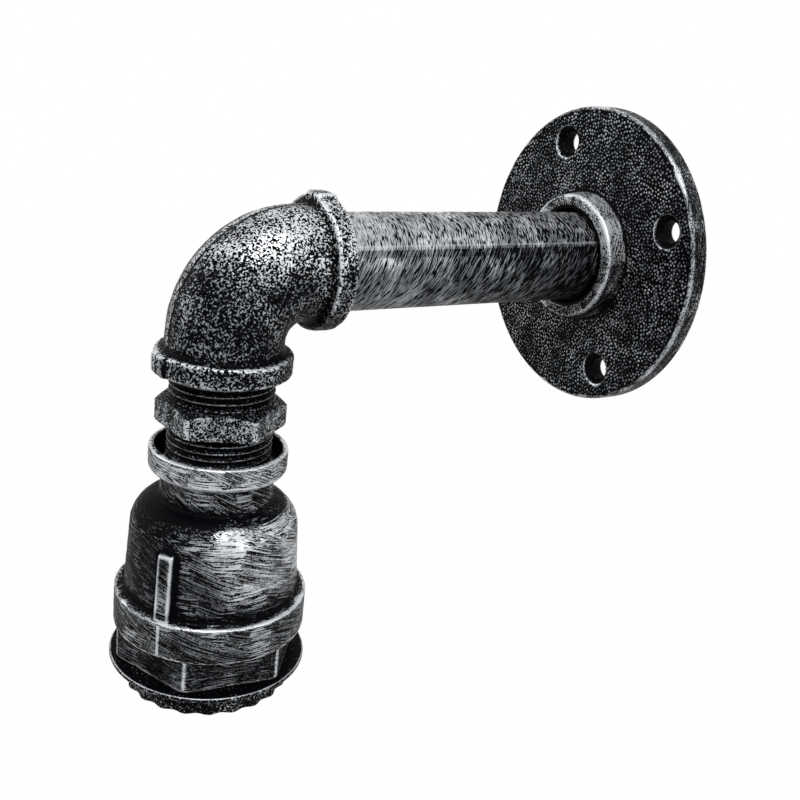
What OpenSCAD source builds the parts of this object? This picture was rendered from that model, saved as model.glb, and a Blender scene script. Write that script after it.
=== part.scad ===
// Industrial pipe wall light: a floor flange, a straight arm pipe, a banded elbow,
// a hexagon nipple and a bell-shaped reducing socket round an E27 lampholder.
// The origin is the centre of the flange's back face, on the wall.
// The arm runs along -Y, the drop runs along -Z, and all lengths are millimetres.

/* [Arm and elbow] */
// Distance from the wall to the axis of the drop
arm_reach = 118.2; // [105:0.1:170]
// Outer diameter of the arm pipe
pipe_d = 25.1; // [24:0.1:26]
// Wall of the arm pipe
pipe_wall = 2.1; // [1.6:0.1:2.8]
// Distance from the elbow's centre to each of its faces
elbow_reach = 26.2; // [25:0.1:32]
// Radius of the elbow's bend, at the middle of its tube
elbow_bend = 18; // [17:0.1:19.5]
// Outer diameter of the elbow's tube
elbow_d = 29; // [28.6:0.1:31]
// Inner diameter of the elbow's tube
elbow_bore_d = 23; // [21:0.1:23.6]
// Diameter of the bands at the elbow's mouths
elbow_band_d = 33.9; // [32.5:0.1:36]
// Width of the bands at the elbow's mouths
elbow_band_w = 5.4; // [4:0.1:6.5]
// Width of the cast lug on each band
elbow_lug_w = 6; // [3:0.1:8]
// Height of the cast lug above its band
elbow_lug_h = 0.7; // [0.3:0.1:1.2]

/* [Flange] */
// Diameter of the flange
flange_d = 85; // [80:0.5:95]
// Thickness of the flange's disc
flange_t = 5.5; // [4.5:0.1:7]
// Diameter of the collar at its front
collar_d = 35.5; // [33:0.1:38]
// Distance from the wall to the collar's front
collar_h = 11.6; // [10.5:0.1:16]
// How much the collar's radius grows towards the disc
collar_draft = 0.8; // [0.2:0.1:1.5]
// Diameter of the circle of screw holes
screw_circle_d = 67.5; // [60:0.5:70]
// Diameter of the screw holes
screw_hole_d = 6.2; // [4.5:0.1:7]
// Diameter of the screw holes' countersunk mouths
screw_mouth_d = 9.6; // [8:0.1:11]
// Turn of the first screw hole from the top, in degrees
screw_turn = 23.6; // [0:0.1:90]

/* [Nipple] */
// Outer diameter of the nipple's thread
thread_d = 26.4; // [25.6:0.1:26.8]
// Bore of the nipple
nipple_bore_d = 19.6; // [16:0.1:21]
// Thread that shows between the elbow and the hexagon
nipple_show = 7.2; // [5:0.1:10]
// Hexagon of the nipple, across its flats
nipple_af = 28.6; // [28:0.1:31]
// Height of the nipple's hexagon
nipple_hex_h = 6.4; // [5:0.1:9]
// Turn of the nipple's hexagon, in degrees
nipple_turn = 6; // [0:1:60]
// Thread below the nipple's hexagon
nipple_tail = 19.2; // [16:0.1:20]
// Thread that shows between the hexagon and the bell
bell_gap = 6.1; // [4:0.1:8]

/* [Bell] */
// Diameter of the ring at the bell's top
ring_d = 34.8; // [33:0.1:36]
// Height of the ring at the bell's top
ring_h = 6.2; // [5:0.1:8]
// Diameter of the open recess in the ring
recess_d = 32; // [30:0.1:32.4]
// Depth of the open recess in the ring
recess_depth = 4.6; // [3:0.1:5]
// Diameter of the bell's neck
neck_d = 28.6; // [28.2:0.1:30]
// Height from the ring's top to the band's top
bell_body_h = 39.1; // [38.6:0.1:46]
// Depth below the ring's top at which the dome ends
dome_depth = 21.4; // [21:0.1:23]
// Radius of the dome's shoulder
dome_r = 8.5; // [8:0.1:9.5]
// Radius of the fillet between neck and dome
neck_fillet = 3; // [1.5:0.1:3.5]
// Diameter of the bell where the dome ends
shoulder_d = 42.2; // [41.8:0.1:43.6]
// Diameter of the bell where it meets the band
skirting_d = 44.8; // [44:0.1:45.6]
// Wall of the bell
bell_wall = 2.4; // [2:0.1:2.7]
// Diameter of the bell's band
band_d = 49.6; // [49:0.1:54]
// Height of the bell's band
band_h = 9.6; // [7:0.1:12]
// Hexagon of the bell, across its flats
bell_af = 42.4; // [42:0.1:43]
// Height of the bell's hexagon
bell_hex_h = 9; // [7:0.1:11]
// Turn of the bell on its thread, in degrees
bell_turn = 22; // [0:1:60]
// Width of the ribs along the bell
rib_w = 3.2; // [2:0.1:5]
// Height of the ribs above the bell's wall
rib_h = 1.6; // [1:0.1:1.6]
// Turn of the ribs from the hexagon's corner, in degrees
rib_turn = -76; // [-90:1:0]

/* [Shade ring] */
// Diameter of the shade ring's flange
shade_d = 51.3; // [50:0.1:58]
// Thickness of the shade ring's flange
shade_rim_t = 1.2; // [0.8:0.1:2]
// Height of the shade ring
shade_h = 7.4; // [6:0.1:9]
// Diameter over the ridges of the shade ring's grip
grip_d = 44; // [42.6:0.1:48]
// Depth of the hollows between the grip's ridges
grip_depth = 0.8; // [0.3:0.1:1]
// Number of ridges round the grip
grip_count = 22; // [14:1:40]
// Turn of the grip's first ridge, in degrees
grip_turn = 11; // [0:1:30]

/* [Lampholder] */
// Outer diameter of the lampholder's thread
skirt_d = 38.8; // [38.4:0.1:39]
// How far the skirt reaches below the shade ring
skirt_show = 1.1; // [0.6:0.1:6]
// Length of the skirt
skirt_h = 36.5; // [36:0.1:40]
// Diameter of the plain collar above the skirt's thread
skirt_collar_d = 36.8; // [36:0.1:37.2]
// Height of the plain collar above the skirt's thread
skirt_collar_h = 10; // [8:0.1:10.5]
// Bore of the skirt
skirt_bore_d = 33; // [32.8:0.1:33.6]
// Thickness of the lip at the skirt's mouth
lip_t = 2; // [1.5:0.1:3]
// Diameter of the opening in the lip
lip_bore_d = 28.8; // [28:0.1:29.5]
// Inner diameter of the screw shell, for an E27 lamp cap
shell_d = 26.6; // [26.5:0.1:26.8]
// Sheet thickness of the screw shell
shell_t = 0.45; // [0.3:0.05:0.5]
// Depth of the screw shell
shell_h = 22.5; // [22:0.1:23.5]
// Inner diameter of the screw shell's narrow end
shell_neck_d = 24.6; // [23:0.1:25.4]
// Height of the screw shell's narrow end, where the centre contact lies
shell_neck_h = 4; // [3.6:0.1:5]
// Thickness of the ceramic insert
insert_h = 8; // [7:0.1:9]
// Diameter of the cap that closes the lampholder
cap_d = 36.4; // [35:0.1:36.8]
// Height of the cap above the skirt
cap_h = 12; // [11.5:0.1:12.5]
// Height of the terminals above the ceramic insert
terminal_h = 6.5; // [5:0.1:6.6]

/* [Wiring] */
// Diameter of the sheathed flex
flex_d = 6; // [5:0.1:6.6]
// Diameter of each insulated core
core_d = 1.8; // [1.4:0.1:1.9]
// Distance between the two cores in the tie tube
core_pitch = 2.6; // [2.4:0.1:2.8]
// Depth of the free space for the supply connection behind the flex
pocket_depth = 24; // [20:0.5:40]

/* [Hidden] */
$fn = 96;
arc_steps = 8;
sweep_sides = 12;
ridge_steps = 12;
overrun = 1;
// Radial play of a screwed joint, which turns
thread_fit = 0.05;
// Radial play round the lampholder in the bell
bell_clear = 0.4;
// Radial gap between the lampholder's cap and the bell's wall
cap_clear = 0.8;
// Play of the pieces that drop into each other in the lampholder
seat_clear = 0.1;
// Gap between the two lengths of flex, which turn with the elbow
flex_gap = 0.1;

// Edges and fillets of the castings
rim_round = 1.2;
collar_round = 1;
collar_fillet = 1.6;
mouth_chamfer = 1.1;
band_round = 0.9;
band_fillet = 1.2;
ring_edge = 0.5;
ring_round = 1.9;
girdle_round = 0.7;
hex_rounding = 0.25;
hex_chamfer_angle = 30;
edge_break = 0.5;
screw_mouth_depth = 1.6;
seam_w = 0.7;
seam_h = 0.25;

// Depth of thread in each fitting, and how far the pieces go in
thread_depth = 10.4;
screwed_in = 8.2;
pipe_back = 1.5;

// Tie tube, nuts, washer and earth tag
tie_d = 10;
tie_bore_d = 7.2;
tie_nut_af = 14;
tie_nut_h = 4;
locknut_h = 2.5;
tie_proud = 1;
tie_grip = 3.5;
washer_d = 24.8;
washer_t = 1.5;
tag_d = 15.2;
tag_t = 0.8;
tag_reach = 10.6;
tag_w = 4;
grub_d = 3;

// Cap, insert, terminals and contact
cap_wall = 2.2;
cap_boss_d = 19;
cap_boss_h = 4;
cap_entry_h = 4.5;
cap_rim_h = 3.5;
spigot_h = 4;
insert_d = 32.4;
seat_boss_d = 18;
seat_boss_h = 1.2;
terminal_w = 6;
terminal_depth = 5;
terminal_screw_d = 2.5;
terminal_head_d = 4.4;
terminal_head_h = 1.6;
terminal_grip = 3;
tail_w = 3;
tail_t = 1;
live_tail_x = 7.5;
neutral_tail_x = 11;
contact_w = 5;
contact_t = 0.4;
contact_length = 10;
contact_sag = 8;
contact_button_d = 3.4;
contact_button_h = 0.8;
contact_play = 0.05;

// Routes of the leads
core_bend = 3.6;
sheath_end = 60;
earth_offset = 1.5;
earth_bend = 2.5;
earth_drop_at = 8.8;

// Levels along the drop, downwards from the arm's axis
face_z = -elbow_reach;
nipple_hex_z = face_z - nipple_show - nipple_hex_h;
nipple_top_z = face_z + screwed_in;
nipple_end_z = nipple_hex_z - nipple_tail;
ring_top_z = nipple_hex_z - bell_gap;
dome_z = ring_top_z - dome_depth;
band_top_z = ring_top_z - bell_body_h;
band_low_z = band_top_z - band_h;
mouth_z = band_low_z - bell_hex_h;
shade_top_z = mouth_z - bell_clear;
shade_low_z = shade_top_z - shade_h;
skirt_low_z = shade_low_z - skirt_show;
skirt_top_z = skirt_low_z + skirt_h;
skirt_thread_z = skirt_top_z - skirt_collar_h;
shell_low_z = skirt_low_z + lip_t;
insert_low_z = shell_low_z + shell_h;
insert_top_z = insert_low_z + insert_h;
cap_top_z = skirt_top_z + cap_h;
cap_shoulder_z = skirt_top_z + cap_rim_h;
terminal_top_z = insert_top_z + terminal_h;
washer_z = nipple_top_z;
tag_z = washer_z + washer_t;
tie_nut_z = tag_z + tag_t;
tie_top_z = tie_nut_z + tie_nut_h + tie_proud;
tie_low_z = cap_top_z - tie_grip;

// Places that follow from the sizes above
elbow_face_y = elbow_reach - arm_reach;
pipe_end_y = elbow_face_y - thread_depth + edge_break;
mouth_r = skirt_d / 2 + bell_clear;
dome_centre_r = shoulder_d / 2 - dome_r;
fillet_centre_r = neck_d / 2 + neck_fillet;
fillet_rise = sqrt(pow(dome_r + neck_fillet, 2) - pow(fillet_centre_r - dome_centre_r, 2));
fillet_centre_z = dome_z + fillet_rise;
tangent_angle = atan2(fillet_rise, fillet_centre_r - dome_centre_r);
terminal_x = core_pitch / 2 + 2 * core_bend;
core_turn_z = terminal_top_z + 2 * core_bend;
contact_z = insert_low_z - seat_boss_h - contact_t / 2 - contact_play;

// Points of an arc about a centre, between two angles
function arc(centre, r, from, to) =
    [for (i = [0 : arc_steps])
        let (a = from + (to - from) * i / arc_steps)
        centre + r * [cos(a), sin(a)]];

// Puts what is drawn on the Z axis onto the axis of the drop
module on_drop(z) {
    translate([0, -arm_reach, z]) children();
}

// Points what is drawn along +Z away from the wall, along -Y
module off_wall() {
    rotate([90, 0, 0]) children();
}

// Disc on the Z axis whose rim is rounded at both edges
module rounded_disc(d, h, low, high) {
    rotate_extrude()
        polygon(concat([[0, 0]], arc([d / 2 - low, low], low, -90, 0),
            arc([d / 2 - high, h - high], high, 0, 90), [[0, h]]));
}

// Straight tube or rod along Z, from one level up to another
module rod(d, low, high) {
    translate([0, 0, low]) cylinder(d = d, h = high - low);
}

// Part of a ring of round section, between two angles
module bent_rod(d, r, from, to) {
    rotate([0, 0, from])
        rotate_extrude(angle = to - from)
            translate([r, 0]) circle(d = d);
}

// Frame of the elbow's bend: 0 degrees is the drop's end and 90 degrees is the arm's end
module in_bend() {
    translate([0, elbow_bend - arm_reach, -elbow_bend])
        rotate([90, 0, -90]) children();
}

// Points [y, z] along the elbow's bend, between two angles of its frame
function bend_route(r, from, to) =
    arc([elbow_bend - arm_reach, -elbow_bend], r, 180 - from, 180 - to);

// Tube of round section along a route of [y, z] points, with its ends square to the route
module swept_tube(route, d) {
    last = len(route) - 1;
    points = [for (i = [0 : last])
        let (along = route[min(i + 1, last)] - route[max(i - 1, 0)], t = along / norm(along))
        for (k = [0 : sweep_sides - 1])
            let (a = 360 * k / sweep_sides, out = d / 2 * sin(a))
            [d / 2 * cos(a), route[i][0] - out * t[1], route[i][1] + out * t[0]]];
    walls = [for (i = [0 : last - 1], k = [0 : sweep_sides - 1], half = [0, 1])
        let (a = i * sweep_sides + k, b = i * sweep_sides + (k + 1) % sweep_sides)
        half == 0 ? [a, b, b + sweep_sides] : [a, b + sweep_sides, a + sweep_sides]];
    polyhedron(points, concat(walls, [[for (k = [sweep_sides - 1 : -1 : 0]) k],
        [for (k = [0 : sweep_sides - 1]) last * sweep_sides + k]]));
}

// Hexagon prism whose corner points along +X
module hexagon(af, h) {
    cylinder(d = af / cos(30), h = h, $fn = 6);
}

// Hexagon nut with its hole, standing on Z = 0
module nut(af, h, hole_d) {
    difference() {
        intersection() {
            hexagon(af, h);
            rounded_disc(af / cos(30) - hex_rounding, h, edge_break, edge_break);
        }
        translate([0, 0, -overrun]) cylinder(d = hole_d, h = h + 2 * overrun);
    }
}

// Floor flange: disc, drafted collar with a chamfered mouth, and countersunk screw holes
module wall_flange() {
    bore_r = pipe_d / 2 + thread_fit;
    base_r = collar_d / 2 + collar_draft;
    color("dimgray") off_wall() difference() {
        rotate_extrude()
            polygon(concat(
                [[bore_r, 0], [flange_d / 2 - edge_break, 0], [flange_d / 2, edge_break]],
                arc([flange_d / 2 - rim_round, flange_t - rim_round], rim_round, 0, 90),
                arc([base_r + collar_fillet, flange_t + collar_fillet], collar_fillet, 270, 180),
                arc([collar_d / 2 - collar_round, collar_h - collar_round], collar_round, 0, 90),
                [[bore_r + mouth_chamfer, collar_h], [bore_r, collar_h - 2 * mouth_chamfer]]));
        for (i = [0 : 3])
            rotate([0, 0, screw_turn + i * 90])
                translate([0, screw_circle_d / 2, 0]) screw_hole();
    }
}

// Through hole with a countersunk mouth, cut from the flange's front
module screw_hole() {
    translate([0, 0, -overrun]) cylinder(d = screw_hole_d, h = flange_t + 2 * overrun);
    translate([0, 0, flange_t - screw_mouth_depth])
        cylinder(d1 = screw_hole_d, d2 = screw_mouth_d, h = screw_mouth_depth);
    translate([0, 0, flange_t]) cylinder(d = screw_mouth_d, h = overrun);
}

// Straight pipe, screwed into the flange's collar and the elbow's mouth
module arm_pipe() {
    length = -pipe_end_y - pipe_back;
    color("gray") off_wall() translate([0, 0, pipe_back]) difference() {
        rounded_disc(pipe_d, length, edge_break, edge_break);
        translate([0, 0, -overrun])
            cylinder(d = pipe_d - 2 * pipe_wall, h = length + 2 * overrun);
    }
}

// Sheathed flex on the arm's axis, from the supply pocket to the elbow's mouth
module arm_flex() {
    color("black") off_wall()
        rod(flex_d, pocket_depth, -elbow_face_y - flex_gap);
}

// Band round a mouth of the elbow, from its face at Z = 0, with the fillet that joins it
// to the tube behind it and the cast lug on the parting line
module elbow_band() {
    band_r = elbow_band_d / 2;
    tube_r = elbow_d / 2;
    rotate_extrude()
        polygon(concat([[0, 0]],
            arc([band_r - band_round, band_round], band_round, -90, 0),
            arc([band_r - band_round, elbow_band_w - band_round], band_round, 0, 90),
            arc([tube_r + band_fillet, elbow_band_w + band_fillet], band_fillet, 270, 180),
            [[0, elbow_band_w + band_fillet]]));
    translate([-elbow_lug_w / 2, tube_r - band_fillet, edge_break])
        cube([elbow_lug_w, band_r + elbow_lug_h - tube_r + band_fillet,
            elbow_band_w - edge_break]);
}

// Banded quarter-turn elbow: swept tube, two straight mouths, two bands and screwed bores
module elbow() {
    bore_r = thread_d / 2 + thread_fit;
    arm_bore_r = pipe_d / 2 + thread_fit;
    color("dimgray") difference() {
        union() {
            in_bend() bent_rod(elbow_d, elbow_bend, 0, 90);
            on_drop(0) rod(elbow_d, face_z, -elbow_bend);
            off_wall() rod(elbow_d, -elbow_face_y, arm_reach - elbow_bend);
            on_drop(face_z) rotate([0, 0, 180]) elbow_band();
            off_wall() translate([0, 0, -elbow_face_y]) elbow_band();
        }
        in_bend() bent_rod(elbow_bore_d, elbow_bend, 0, 90);
        on_drop(0) rod(elbow_bore_d, face_z, -elbow_bend);
        off_wall() rod(elbow_bore_d, -elbow_face_y, arm_reach - elbow_bend);
        on_drop(0) rod(2 * bore_r, face_z - overrun, face_z + thread_depth);
        off_wall() rod(2 * arm_bore_r, -elbow_face_y - overrun, -elbow_face_y + thread_depth);
    }
}

// Sheathed flex inside the elbow, from the elbow's mouth to where its cores part
module elbow_flex() {
    color("black")
        swept_tube(concat([[elbow_face_y, 0]], bend_route(elbow_bend, 90, sheath_end)), flex_d);
}

// Hexagon nipple: two threads with a chamfered hexagon between them
module hex_nipple() {
    corner_r = nipple_af / cos(30) / 2 - hex_rounding;
    flat_r = nipple_af / 2 - hex_rounding;
    rise = (corner_r - flat_r) * tan(hex_chamfer_angle);
    color("dimgray") difference() {
        union() {
            on_drop(nipple_end_z)
                rounded_disc(thread_d, nipple_top_z - nipple_end_z, edge_break, edge_break);
            on_drop(nipple_hex_z) intersection() {
                rotate([0, 0, nipple_turn]) hexagon(nipple_af, nipple_hex_h);
                rotate_extrude()
                    polygon([[0, 0], [corner_r - edge_break, 0], [corner_r, edge_break],
                        [corner_r, nipple_hex_h - rise], [flat_r, nipple_hex_h],
                        [0, nipple_hex_h]]);
            }
        }
        on_drop(0) rod(nipple_bore_d, nipple_end_z - overrun, nipple_top_z + overrun);
    }
}

// Washer on the nipple's upper end, which carries the lampholder's weight
module tie_washer() {
    color("silver") on_drop(0) difference() {
        rod(washer_d, washer_z, washer_z + washer_t);
        rod(tie_d + 2 * seat_clear, washer_z - overrun, washer_z + washer_t + overrun);
    }
}

// Ring tag for the earth core, with its tail towards the elbow's outer wall
module earth_tag() {
    color("gold") on_drop(tag_z) difference() {
        union() {
            cylinder(d = tag_d, h = tag_t);
            translate([-tag_w / 2, -tag_reach, 0]) cube([tag_w, tag_reach, tag_t]);
        }
        translate([0, 0, -overrun])
            cylinder(d = tie_d + 2 * seat_clear, h = tag_t + 2 * overrun);
    }
}

// Nut at the tie tube's upper end
module tie_nut() {
    color("silver") on_drop(tie_nut_z) nut(tie_nut_af, tie_nut_h, tie_d + 2 * thread_fit);
}

// Hollow threaded tube from the nut in the elbow to the lampholder's cap
module tie_tube() {
    color("silver") on_drop(0) difference() {
        rod(tie_d, tie_low_z, tie_top_z);
        rod(tie_bore_d, tie_low_z - overrun, tie_top_z + overrun);
    }
}

// Earth core: straight out of the sheath, then down onto the earth tag
module earth_core() {
    lean = 90 - sheath_end;
    start = bend_route(elbow_bend + earth_offset, sheath_end, sheath_end)[0];
    end_y = -arm_reach - earth_drop_at;
    run = (start[0] - end_y - earth_bend * (1 - sin(lean))) / cos(lean);
    turn = [end_y + earth_bend, start[1] - run * sin(lean) - earth_bend * cos(lean)];
    color("yellowgreen")
        swept_tube(concat([start], arc(turn, earth_bend, 90 + lean, 180), [[end_y, tie_nut_z]]),
            core_d);
}

// Core on the +X side: round the rest of the bend, down the tie tube, then out to its terminal
module supply_core() {
    translate([core_pitch / 2, 0, 0]) {
        in_bend() bent_rod(core_d, elbow_bend, 0, sheath_end);
        on_drop(0) rod(core_d, core_turn_z, -elbow_bend);
        on_drop(core_turn_z) translate([core_bend, 0, 0]) rotate([90, 0, 0])
            bent_rod(core_d, core_bend, 180, 270);
        on_drop(terminal_top_z) translate([core_bend, 0, 0]) rotate([90, 0, 0])
            bent_rod(core_d, core_bend, 0, 90);
        translate([2 * core_bend, 0, 0]) on_drop(0)
            rod(core_d, terminal_top_z - terminal_grip, terminal_top_z);
    }
}

module live_core() {
    color("saddlebrown") supply_core();
}

module neutral_core() {
    color("steelblue") mirror([1, 0, 0]) supply_core();
}

// Thin nut that locks the lampholder's cap on the tie tube
module cap_locknut() {
    color("silver") on_drop(cap_top_z) nut(tie_nut_af, locknut_h, tie_d + 2 * thread_fit);
}

// Grub screw in the cap's boss, which stops the cap turning on the tie tube
module cap_grub_screw() {
    color("silver") on_drop(cap_top_z - cap_boss_h / 2)
        rotate([0, 90, 0])
            rod(grub_d, tie_d / 2 + contact_play, cap_boss_d / 2 - seat_clear);
}

// Cap of the lampholder: threaded entry boss, sloping shoulder and the spigot for the skirt
module holder_cap() {
    spigot_r = skirt_bore_d / 2 - seat_clear;
    inner_r = spigot_r - cap_wall;
    cap_low_z = skirt_top_z - spigot_h;
    color("ivory") on_drop(0) difference() {
        rotate_extrude()
            polygon([[0, cap_low_z], [spigot_r, cap_low_z], [spigot_r, skirt_top_z],
                [cap_d / 2, skirt_top_z], [cap_d / 2, cap_shoulder_z],
                [cap_boss_d / 2, cap_top_z - cap_boss_h], [cap_boss_d / 2, cap_top_z],
                [0, cap_top_z]]);
        rotate_extrude()
            polygon([[0, cap_low_z - overrun], [inner_r, cap_low_z - overrun],
                [inner_r, cap_shoulder_z - cap_wall / 2],
                [cap_boss_d / 2 - cap_wall, cap_top_z - cap_entry_h],
                [0, cap_top_z - cap_entry_h]]);
        rod(tie_d + 2 * thread_fit, cap_top_z - cap_entry_h - overrun, cap_top_z + overrun);
        translate([0, 0, cap_top_z - cap_boss_h / 2]) rotate([0, 90, 0])
            rod(grub_d + 2 * thread_fit, 0, cap_boss_d);
    }
}

// Skirt of the lampholder, threaded outside, with a lip that holds the screw shell
module holder_skirt() {
    color("ivory") on_drop(0) difference() {
        union() {
            rod(skirt_d, skirt_low_z, skirt_thread_z);
            rod(skirt_collar_d, skirt_thread_z, skirt_top_z);
        }
        rod(skirt_bore_d, shell_low_z, skirt_top_z + overrun);
        rod(lip_bore_d, skirt_low_z - overrun, shell_low_z + overrun);
    }
}

// Ceramic insert: disc with a seat for the centre contact and slots for the terminals' tails
module holder_insert() {
    color("whitesmoke") on_drop(0) difference() {
        union() {
            rod(insert_d, insert_low_z, insert_top_z);
            rod(seat_boss_d, insert_low_z - seat_boss_h, insert_low_z);
        }
        tail(live_tail_x, insert_low_z - seat_boss_h - overrun, insert_top_z + overrun, seat_clear);
        tail(-neutral_tail_x, insert_low_z - overrun, insert_top_z + overrun, seat_clear);
    }
}

// Flat tail of a terminal, or its slot if it is given some play
module tail(x, low, high, play) {
    translate([x - tail_t / 2 - play, -tail_w / 2 - play, low])
        cube([tail_t + 2 * play, tail_w + 2 * play, high - low]);
}

// Terminal block on the insert, with the core's hole and the screw's hole
module terminal(side, tail_x, tail_low) {
    color("goldenrod") on_drop(0) {
        difference() {
            translate([side * terminal_x - terminal_w / 2, -terminal_depth / 2, insert_top_z])
                cube([terminal_w, terminal_depth, terminal_h]);
            translate([side * terminal_x, 0, 0])
                rod(core_d + 2 * seat_clear, terminal_top_z - terminal_grip, terminal_top_z + overrun);
            at_terminal_screw(side)
                rod(terminal_screw_d + 2 * thread_fit, -overrun, terminal_depth / 2 - core_d / 2);
        }
        tail(tail_x, tail_low, insert_top_z, 0);
    }
}

// Place of a terminal's clamp screw: its shank points into the block from the -Y side
module at_terminal_screw(side) {
    translate([side * terminal_x, -terminal_depth / 2, terminal_top_z - terminal_grip / 2])
        rotate([-90, 0, 0]) children();
}

module live_terminal() {
    terminal(1, live_tail_x, insert_low_z - seat_boss_h);
}

module neutral_terminal() {
    terminal(-1, -neutral_tail_x, insert_low_z);
}

// Clamp screws of the two terminals
module terminal_screws() {
    color("silver") on_drop(0) for (side = [-1, 1]) at_terminal_screw(side) {
        rod(terminal_screw_d, 0, terminal_depth / 2 - core_d / 2 - seat_clear);
        rod(terminal_head_d, -terminal_head_h, 0);
    }
}

// Screw shell: tube with a narrow end, an end plate under the insert and a flange on the lip
module screw_shell() {
    shell_r = shell_d / 2;
    neck_r = shell_neck_d / 2;
    neck_z = insert_low_z - shell_neck_h;
    color("gold") on_drop(0) rotate_extrude()
        polygon([[shell_r, shell_low_z], [skirt_bore_d / 2 - seat_clear, shell_low_z],
            [skirt_bore_d / 2 - seat_clear, shell_low_z + shell_t],
            [shell_r + shell_t, shell_low_z + shell_t], [shell_r + shell_t, neck_z + shell_t],
            [neck_r + shell_t, neck_z + shell_t], [neck_r + shell_t, insert_low_z],
            [seat_boss_d / 2 + seat_clear, insert_low_z],
            [seat_boss_d / 2 + seat_clear, insert_low_z - shell_t],
            [neck_r, insert_low_z - shell_t], [neck_r, neck_z], [shell_r, neck_z]]);
}

// Sprung tongue that meets the lamp cap's tip: it hangs from its root on the insert's seat
module centre_contact() {
    color("gold") on_drop(contact_z) translate([live_tail_x, 0, 0])
        rotate([0, -contact_sag, 0]) {
            translate([-contact_length, -contact_w / 2, -contact_t / 2])
                cube([contact_length, contact_w, contact_t]);
            translate([-live_tail_x, 0, -contact_t / 2 - contact_button_h])
                cylinder(d1 = contact_button_d / 2, d2 = contact_button_d, h = contact_button_h);
        }
}

// Bell-shaped reducing socket: ring, neck, dome, ribs, band and hexagon round one cavity
module bell_socket() {
    ring_low_z = ring_top_z - ring_h;
    skirting_r = skirting_d / 2;
    color("dimgray") on_drop(0) difference() {
        union() {
            rotate_extrude()
                polygon(concat([[0, ring_top_z]],
                    arc([ring_d / 2 - ring_edge, ring_top_z - ring_edge], ring_edge, 90, 0),
                    arc([ring_d / 2 - ring_round, ring_low_z + ring_round], ring_round, 0, -90),
                    [[neck_d / 2, ring_low_z]],
                    arc([fillet_centre_r, fillet_centre_z], neck_fillet, 180, 180 + tangent_angle),
                    arc([dome_centre_r, dome_z], dome_r, tangent_angle, 0),
                    arc([skirting_r + band_fillet, band_top_z + band_fillet], band_fillet, 180, 270),
                    [[skirting_r + band_fillet, band_low_z], [0, band_low_z]]));
            translate([0, 0, band_low_z]) rounded_disc(band_d, band_h, girdle_round, girdle_round);
            translate([0, 0, mouth_z]) rotate([0, 0, bell_turn]) intersection() {
                hexagon(bell_af, bell_hex_h);
                rounded_disc(bell_af / cos(30) - hex_rounding, bell_hex_h + overrun,
                    edge_break, edge_break);
            }
            for (side = [0, 180]) rotate([0, 0, bell_turn + rib_turn + side]) bell_rib();
        }
        rod(thread_d + 2 * thread_fit, dome_z, ring_top_z + overrun);
        rod(recess_d, ring_top_z - recess_depth, ring_top_z + overrun);
        bell_cavity();
    }
}

// Rib on the bell's parting line, and the thin seam that carries on over the band
module bell_rib() {
    rib_low_r = skirting_d / 2 + rib_h;
    rib_top_r = shoulder_d / 2 + rib_h;
    root_r = shoulder_d / 2 - bell_wall / 2;
    rib_low_z = band_top_z - girdle_round;
    rib_top_z = dome_z + edge_break / 2;
    seam_low_z = band_low_z + girdle_round + seam_h;
    seam_top_z = band_top_z - girdle_round - seam_h;
    rotate([90, 0, 0]) translate([0, 0, -rib_w / 2]) linear_extrude(rib_w)
        polygon([[root_r, rib_low_z], [rib_low_r, rib_low_z],
            [rib_top_r, rib_top_z - edge_break], [rib_top_r - edge_break, rib_top_z],
            [root_r, rib_top_z]]);
    translate([root_r, -seam_w / 2, seam_low_z])
        cube([band_d / 2 + seam_h - root_r, seam_w, seam_top_z - seam_low_z]);
}

// Hollow of the bell: inner dome, tapered wall past the lampholder's cap, then a straight bore
module bell_cavity() {
    inner_r = dome_r - bell_wall;
    taper_end_z = skirt_thread_z + 2 * edge_break;
    rotate_extrude()
        polygon(concat([[0, dome_z + inner_r]],
            arc([dome_centre_r, dome_z], inner_r, 90, 0),
            [[cap_d / 2 + cap_clear, cap_shoulder_z], [mouth_r, taper_end_z],
                [mouth_r, mouth_z - overrun], [0, mouth_z - overrun]]));
}

// Shade ring: thin flange above a scalloped grip, screwed onto the skirt's thread
module shade_ring() {
    grip_h = shade_h - shade_rim_t / 2;
    wave = grip_depth / 2;
    points_round = ridge_steps * grip_count;
    color("dimgray") on_drop(0) difference() {
        union() {
            translate([0, 0, shade_low_z]) rotate([0, 0, grip_turn]) linear_extrude(grip_h)
                polygon([for (i = [0 : points_round - 1])
                    let (a = 360 * i / points_round, r = grip_d / 2 - wave + wave * cos(grip_count * a))
                    r * [cos(a), sin(a)]]);
            translate([0, 0, shade_top_z - shade_rim_t])
                rounded_disc(shade_d, shade_rim_t, shade_rim_t / 3, shade_rim_t / 2);
        }
        rod(skirt_d + 2 * thread_fit, shade_low_z - overrun, shade_top_z + overrun);
    }
}

wall_flange();
arm_pipe();
arm_flex();
elbow();
elbow_flex();
hex_nipple();
tie_washer();
earth_tag();
tie_nut();
tie_tube();
earth_core();
live_core();
neutral_core();
cap_locknut();
cap_grub_screw();
holder_cap();
holder_skirt();
holder_insert();
live_terminal();
neutral_terminal();
terminal_screws();
screw_shell();
centre_contact();
bell_socket();
shade_ring();
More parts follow.
